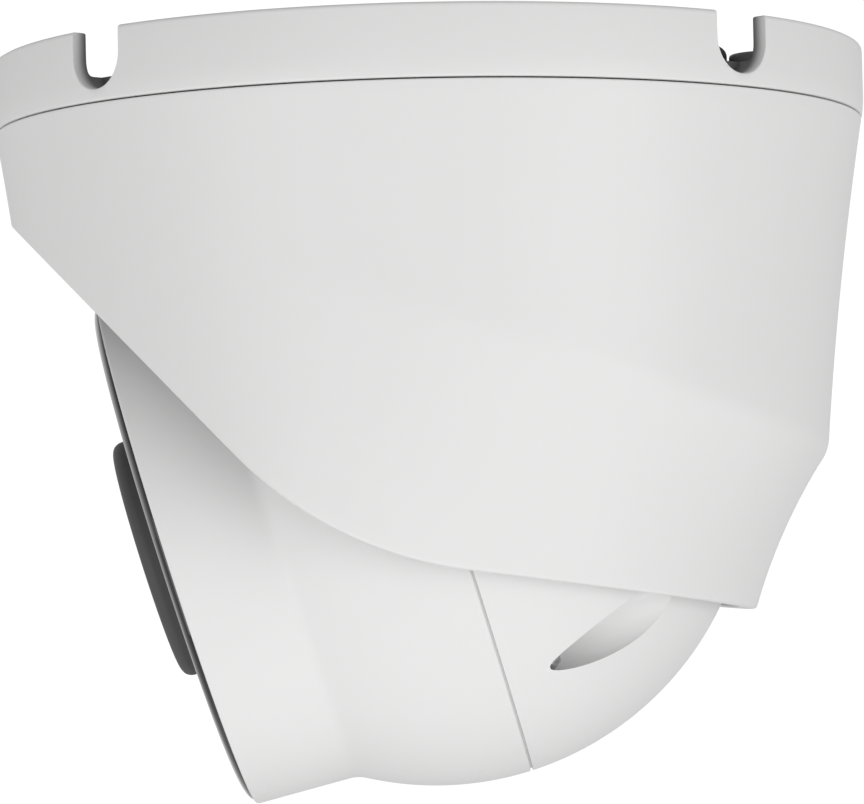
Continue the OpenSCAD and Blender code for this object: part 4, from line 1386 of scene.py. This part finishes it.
def soft_light(name, bearing, elevation, distance, size, power):
    """A large soft square light, placed by its bearing to the rear and its height, aimed at the ball."""
    data = bpy.data.lights.new(name, "AREA")
    data.shape = "SQUARE"
    data.size = size
    data.energy = power
    turn, rise = math.radians(bearing), math.radians(elevation)
    outward = Vector((math.cos(turn) * math.cos(rise), math.sin(turn) * math.cos(rise), math.sin(rise)))
    lamp = bpy.data.objects.new(name, data)
    lamp.location = Vector((0, 0, BALL.z / 2)) + outward * distance
    lamp.rotation_euler = (-outward).to_track_quat("-Z", "Y").to_euler()
    lamp.visible_camera = False
    bpy.context.scene.collection.objects.link(lamp)


def make_floor(stage):
    """The plain pale floor under the camera."""
    bm = bmesh.new()
    reach = FLOOR_REACH / MM
    depth = -stage.floor_drop / MM
    corners = [bm.verts.new((x * reach, y * reach, depth)) for x, y in ((-1, -1), (1, -1), (1, 1), (-1, 1))]
    bm.faces.new(corners)
    floor = object_from("floor", bm)
    pale = moulded("Pale floor", (0.86, 0.86, 0.86), 0.6, 40.0, 0.02, 0.01, 0.0)
    shader = pale.node_tree.nodes["Principled BSDF"]
    shader.inputs["Emission Color"].default_value = WHITE
    shader.inputs["Emission Strength"].default_value = 0.12
    floor.data.materials.append(pale)


def make_world(stage):
    """An even pale room, seen as a white background."""
    world = bpy.data.worlds.new("Pale room")
    bpy.context.scene.world = world
    world.use_nodes = True
    tree = world.node_tree
    room = tree.nodes["Background"]
    overhead = add(tree, "ShaderNodeMapRange", interpolation_type="SMOOTHSTEP", **{
        "From Min": -0.1, "From Max": 0.9, "To Min": stage.world * 1.1, "To Max": stage.world * 0.55})
    split = tree.nodes.new("ShaderNodeSeparateXYZ")
    tree.links.new(tree.nodes.new("ShaderNodeTexCoord").outputs["Generated"], split.inputs[0])
    tree.links.new(split.outputs["Z"], overhead.inputs["Value"])
    tree.links.new(overhead.outputs["Result"], room.inputs["Strength"])
    room.inputs["Color"].default_value = WHITE
    seen = add(tree, "ShaderNodeBackground", Strength=1.05, Color=WHITE)
    path = tree.nodes.new("ShaderNodeLightPath")
    mix = tree.nodes.new("ShaderNodeMixShader")
    tree.links.new(path.outputs["Is Camera Ray"], mix.inputs[0])
    tree.links.new(room.outputs[0], mix.inputs[1])
    tree.links.new(seen.outputs[0], mix.inputs[2])
    tree.links.new(mix.outputs[0], tree.nodes["World Output"].inputs["Surface"])


def make_lights(stage):
    """A key light to the rear, a second ahead, and a weak one from below."""
    soft_light("key", 46, -10, 0.8, 0.5, stage.key)
    soft_light("second", -42, -24, 0.8, 0.6, stage.key * 0.85)
    soft_light("below", 0, -75, 0.36, 0.5, stage.key * 0.14)


def make_camera(stage):
    """The camera beside the shroud and a little below it, turned and rolled as set."""
    elevation, roll = stage.elevation, stage.roll
    seam = Vector((0, 0, SEAM_Z * MM))
    outward = Vector((math.cos(elevation), 0, math.sin(elevation)))
    place = seam + outward * stage.distance
    aim = seam + Vector((0, -stage.aim_side, -stage.aim_drop))
    ahead = (aim - place).normalized()
    right = ahead.cross(Vector((0, 0, 1))).normalized()
    up = right.cross(ahead)
    rolled = Matrix((right * math.cos(roll) + up * math.sin(roll),
                     up * math.cos(roll) - right * math.sin(roll), -ahead)).transposed()
    data = bpy.data.cameras.new("camera")
    data.sensor_width = 36.0
    data.lens = stage.focal
    data.clip_start = 0.01
    camera = bpy.data.objects.new("camera", data)
    camera.matrix_world = Matrix.Translation(place) @ rolled.to_4x4()
    bpy.context.scene.collection.objects.link(camera)
    bpy.context.scene.camera = camera


# ---------------------------------------------------------------- operators

class TURRETCAM_OT_base(bpy.types.Operator):
    """Build the mounting base and the soft ring that seals it to the ceiling"""
    bl_idname = "turretcam.base"
    bl_label = "Mounting base"
    bl_options = {"REGISTER", "UNDO"}

    def execute(self, context):
        base = context.scene.turret_base
        look = context.scene.turret_finish
        # The base's material: the white coat outside, with painted shade on its inside.
        painted_inside_shade = shell_finish_shaded_inside(
            "White shell with bare inside", tuple(look.shell), tuple(look.bare), 0.45, BASE_R)
        install(mounting_base(base), "base", "white_shell", "mounting_base", painted_inside_shade)
        install(base_gasket(), "base", "black_rubber", "base_gasket")
        return {"FINISHED"}


class TURRETCAM_OT_pan_bearing(bpy.types.Operator):
    """Build the hub plate, its retainer and their screws"""
    bl_idname = "turretcam.pan_bearing"
    bl_label = "Pan bearing"
    bl_options = {"REGISTER", "UNDO"}

    def execute(self, context):
        install(turret_plate(), "turret", "zinc_steel", "turret_plate")
        install(plate_screws(), "turret", "screw_steel", "turret_plate_screws")
        install(pan_retainer(), "turret", "zinc_steel", "pan_retainer_ring")
        install(retainer_screws(), "turret", "screw_steel", "retainer_screws")
        return {"FINISHED"}


class TURRETCAM_OT_shroud(bpy.types.Operator):
    """Build the shroud with its leaning crease and oblique lower edge"""
    bl_idname = "turretcam.shroud"
    bl_label = "Shroud"
    bl_options = {"REGISTER", "UNDO"}

    def execute(self, context):
        install(shroud(context.scene.turret_shroud), "turret", "white_shell", "shroud")
        return {"FINISHED"}


class TURRETCAM_OT_yoke(bpy.types.Operator):
    """Build the tilt yoke, its washers and pins, and the clip on the ball's journal"""
    bl_idname = "turretcam.yoke"
    bl_label = "Tilt yoke"
    bl_options = {"REGISTER", "UNDO"}

    def execute(self, context):
        install(tilt_yoke(), "yoke", "zinc_steel", "tilt_yoke")
        install(tilt_washers(), "yoke", "acetal_black", "tilt_washers")
        install(tilt_pins(), "turret", "screw_steel", "tilt_pins")
        install(roll_clip(), "ball", "screw_steel", "roll_retainer")
        return {"FINISHED"}


class TURRETCAM_OT_ball(bpy.types.Operator):
    """Build both halves of the ball, the seal in the seam, the housing screws and the cable inlet"""
    bl_idname = "turretcam.ball"
    bl_label = "Ball"
    bl_options = {"REGISTER", "UNDO"}

    def execute(self, context):
        ball = context.scene.turret_ball
        install(rear_half(ball), "ball", "white_shell", "rear_housing")
        install(front_half(ball), "ball", "white_shell", "front_housing")
        install(housing_seal(), "ball", "black_rubber", "housing_seal")
        install(housing_screws(ball), "ball", "screw_steel", "housing_screws")
        install(cable_gland(), "ball", "black_rubber", "cable_gland")
        return {"FINISHED"}


class TURRETCAM_OT_window(bpy.types.Operator):
    """Build the black front window and its seal"""
    bl_idname = "turretcam.window"
    bl_label = "Front window"
    bl_options = {"REGISTER", "UNDO"}

    def execute(self, context):
        install(front_window(), "ball", "window_black", "front_window")
        install(window_seal(), "ball", "black_rubber", "window_seal")
        return {"FINISHED"}


class TURRETCAM_OT_lens(bpy.types.Operator):
    """Build the lens ring, its glass, the lens barrel and the front glass"""
    bl_idname = "turretcam.lens"
    bl_label = "Lens"
    bl_options = {"REGISTER", "UNDO"}

    def execute(self, context):
        install(lens_ring(), "ball", "lens_black", "lens_ring")
        install(cover_glass(), "ball", "clear_glass", "lens_cover_glass")
        install(front_element(), "ball", "coated_glass", "front_element")
        install(lens_barrel(), "ball", "lens_black", "lens_barrel")
        return {"FINISHED"}


class TURRETCAM_OT_inner_pieces(bpy.types.Operator):
    """Finish the inner pieces that keep the CAD's own mesh"""
    bl_idname = "turretcam.inner_pieces"
    bl_label = "Inner pieces"
    bl_options = {"REGISTER", "UNDO"}

    def execute(self, context):
        dress_inner_pieces()
        return {"FINISHED"}


class TURRETCAM_OT_stage(bpy.types.Operator):
    """Build the floor, the room, the lights and the camera"""
    bl_idname = "turretcam.stage"
    bl_label = "Stage"
    bl_options = {"REGISTER", "UNDO"}

    def execute(self, context):
        stage = context.scene.turret_stage
        make_floor(stage)
        make_world(stage)
        make_lights(stage)
        make_camera(stage)
        context.scene.view_settings.view_transform = "Standard"
        return {"FINISHED"}


class TURRETCAM_PT_panel(bpy.types.Panel):
    """Lists the pieces of the turret camera"""
    bl_idname = "TURRETCAM_PT_panel"
    bl_label = "Turret camera"
    bl_space_type = "VIEW_3D"
    bl_region_type = "UI"
    bl_category = "Turret camera"

    def draw(self, context):
        for operator in OPERATORS:
            self.layout.operator(operator.bl_idname)
        for name in SETTINGS:
            box = self.layout.box()
            box.label(text=SETTINGS[name].__doc__)
            for key in SETTINGS[name].__annotations__:
                box.prop(getattr(context.scene, name), key)


SETTINGS = {
    "turret_base": BaseSettings,
    "turret_shroud": ShroudSettings,
    "turret_ball": BallSettings,
    "turret_finish": FinishSettings,
    "turret_stage": StageSettings,
}
OPERATORS = (
    TURRETCAM_OT_base,
    TURRETCAM_OT_pan_bearing,
    TURRETCAM_OT_shroud,
    TURRETCAM_OT_yoke,
    TURRETCAM_OT_ball,
    TURRETCAM_OT_window,
    TURRETCAM_OT_lens,
    TURRETCAM_OT_inner_pieces,
    TURRETCAM_OT_stage,
)


def register():
    """Adds the settings, the operators and the panel."""
    for name, settings in SETTINGS.items():
        bpy.utils.register_class(settings)
        setattr(bpy.types.Scene, name, bpy.props.PointerProperty(type=settings))
    for cls in OPERATORS:
        bpy.utils.register_class(cls)
    bpy.utils.register_class(TURRETCAM_PT_panel)


def unregister():
    """Takes the panel, the operators and the settings away."""
    bpy.utils.unregister_class(TURRETCAM_PT_panel)
    for cls in reversed(OPERATORS):
        bpy.utils.unregister_class(cls)
    for name, settings in SETTINGS.items():
        delattr(bpy.types.Scene, name)
        bpy.utils.unregister_class(settings)


def main():
    """Builds every piece in order."""
    register()
    bpy.ops.turretcam.base()
    bpy.ops.turretcam.pan_bearing()
    bpy.ops.turretcam.shroud()
    bpy.ops.turretcam.yoke()
    bpy.ops.turretcam.ball()
    bpy.ops.turretcam.window()
    bpy.ops.turretcam.lens()
    bpy.ops.turretcam.inner_pieces()
    bpy.ops.turretcam.stage()


if __name__ == "__main__":
    main()
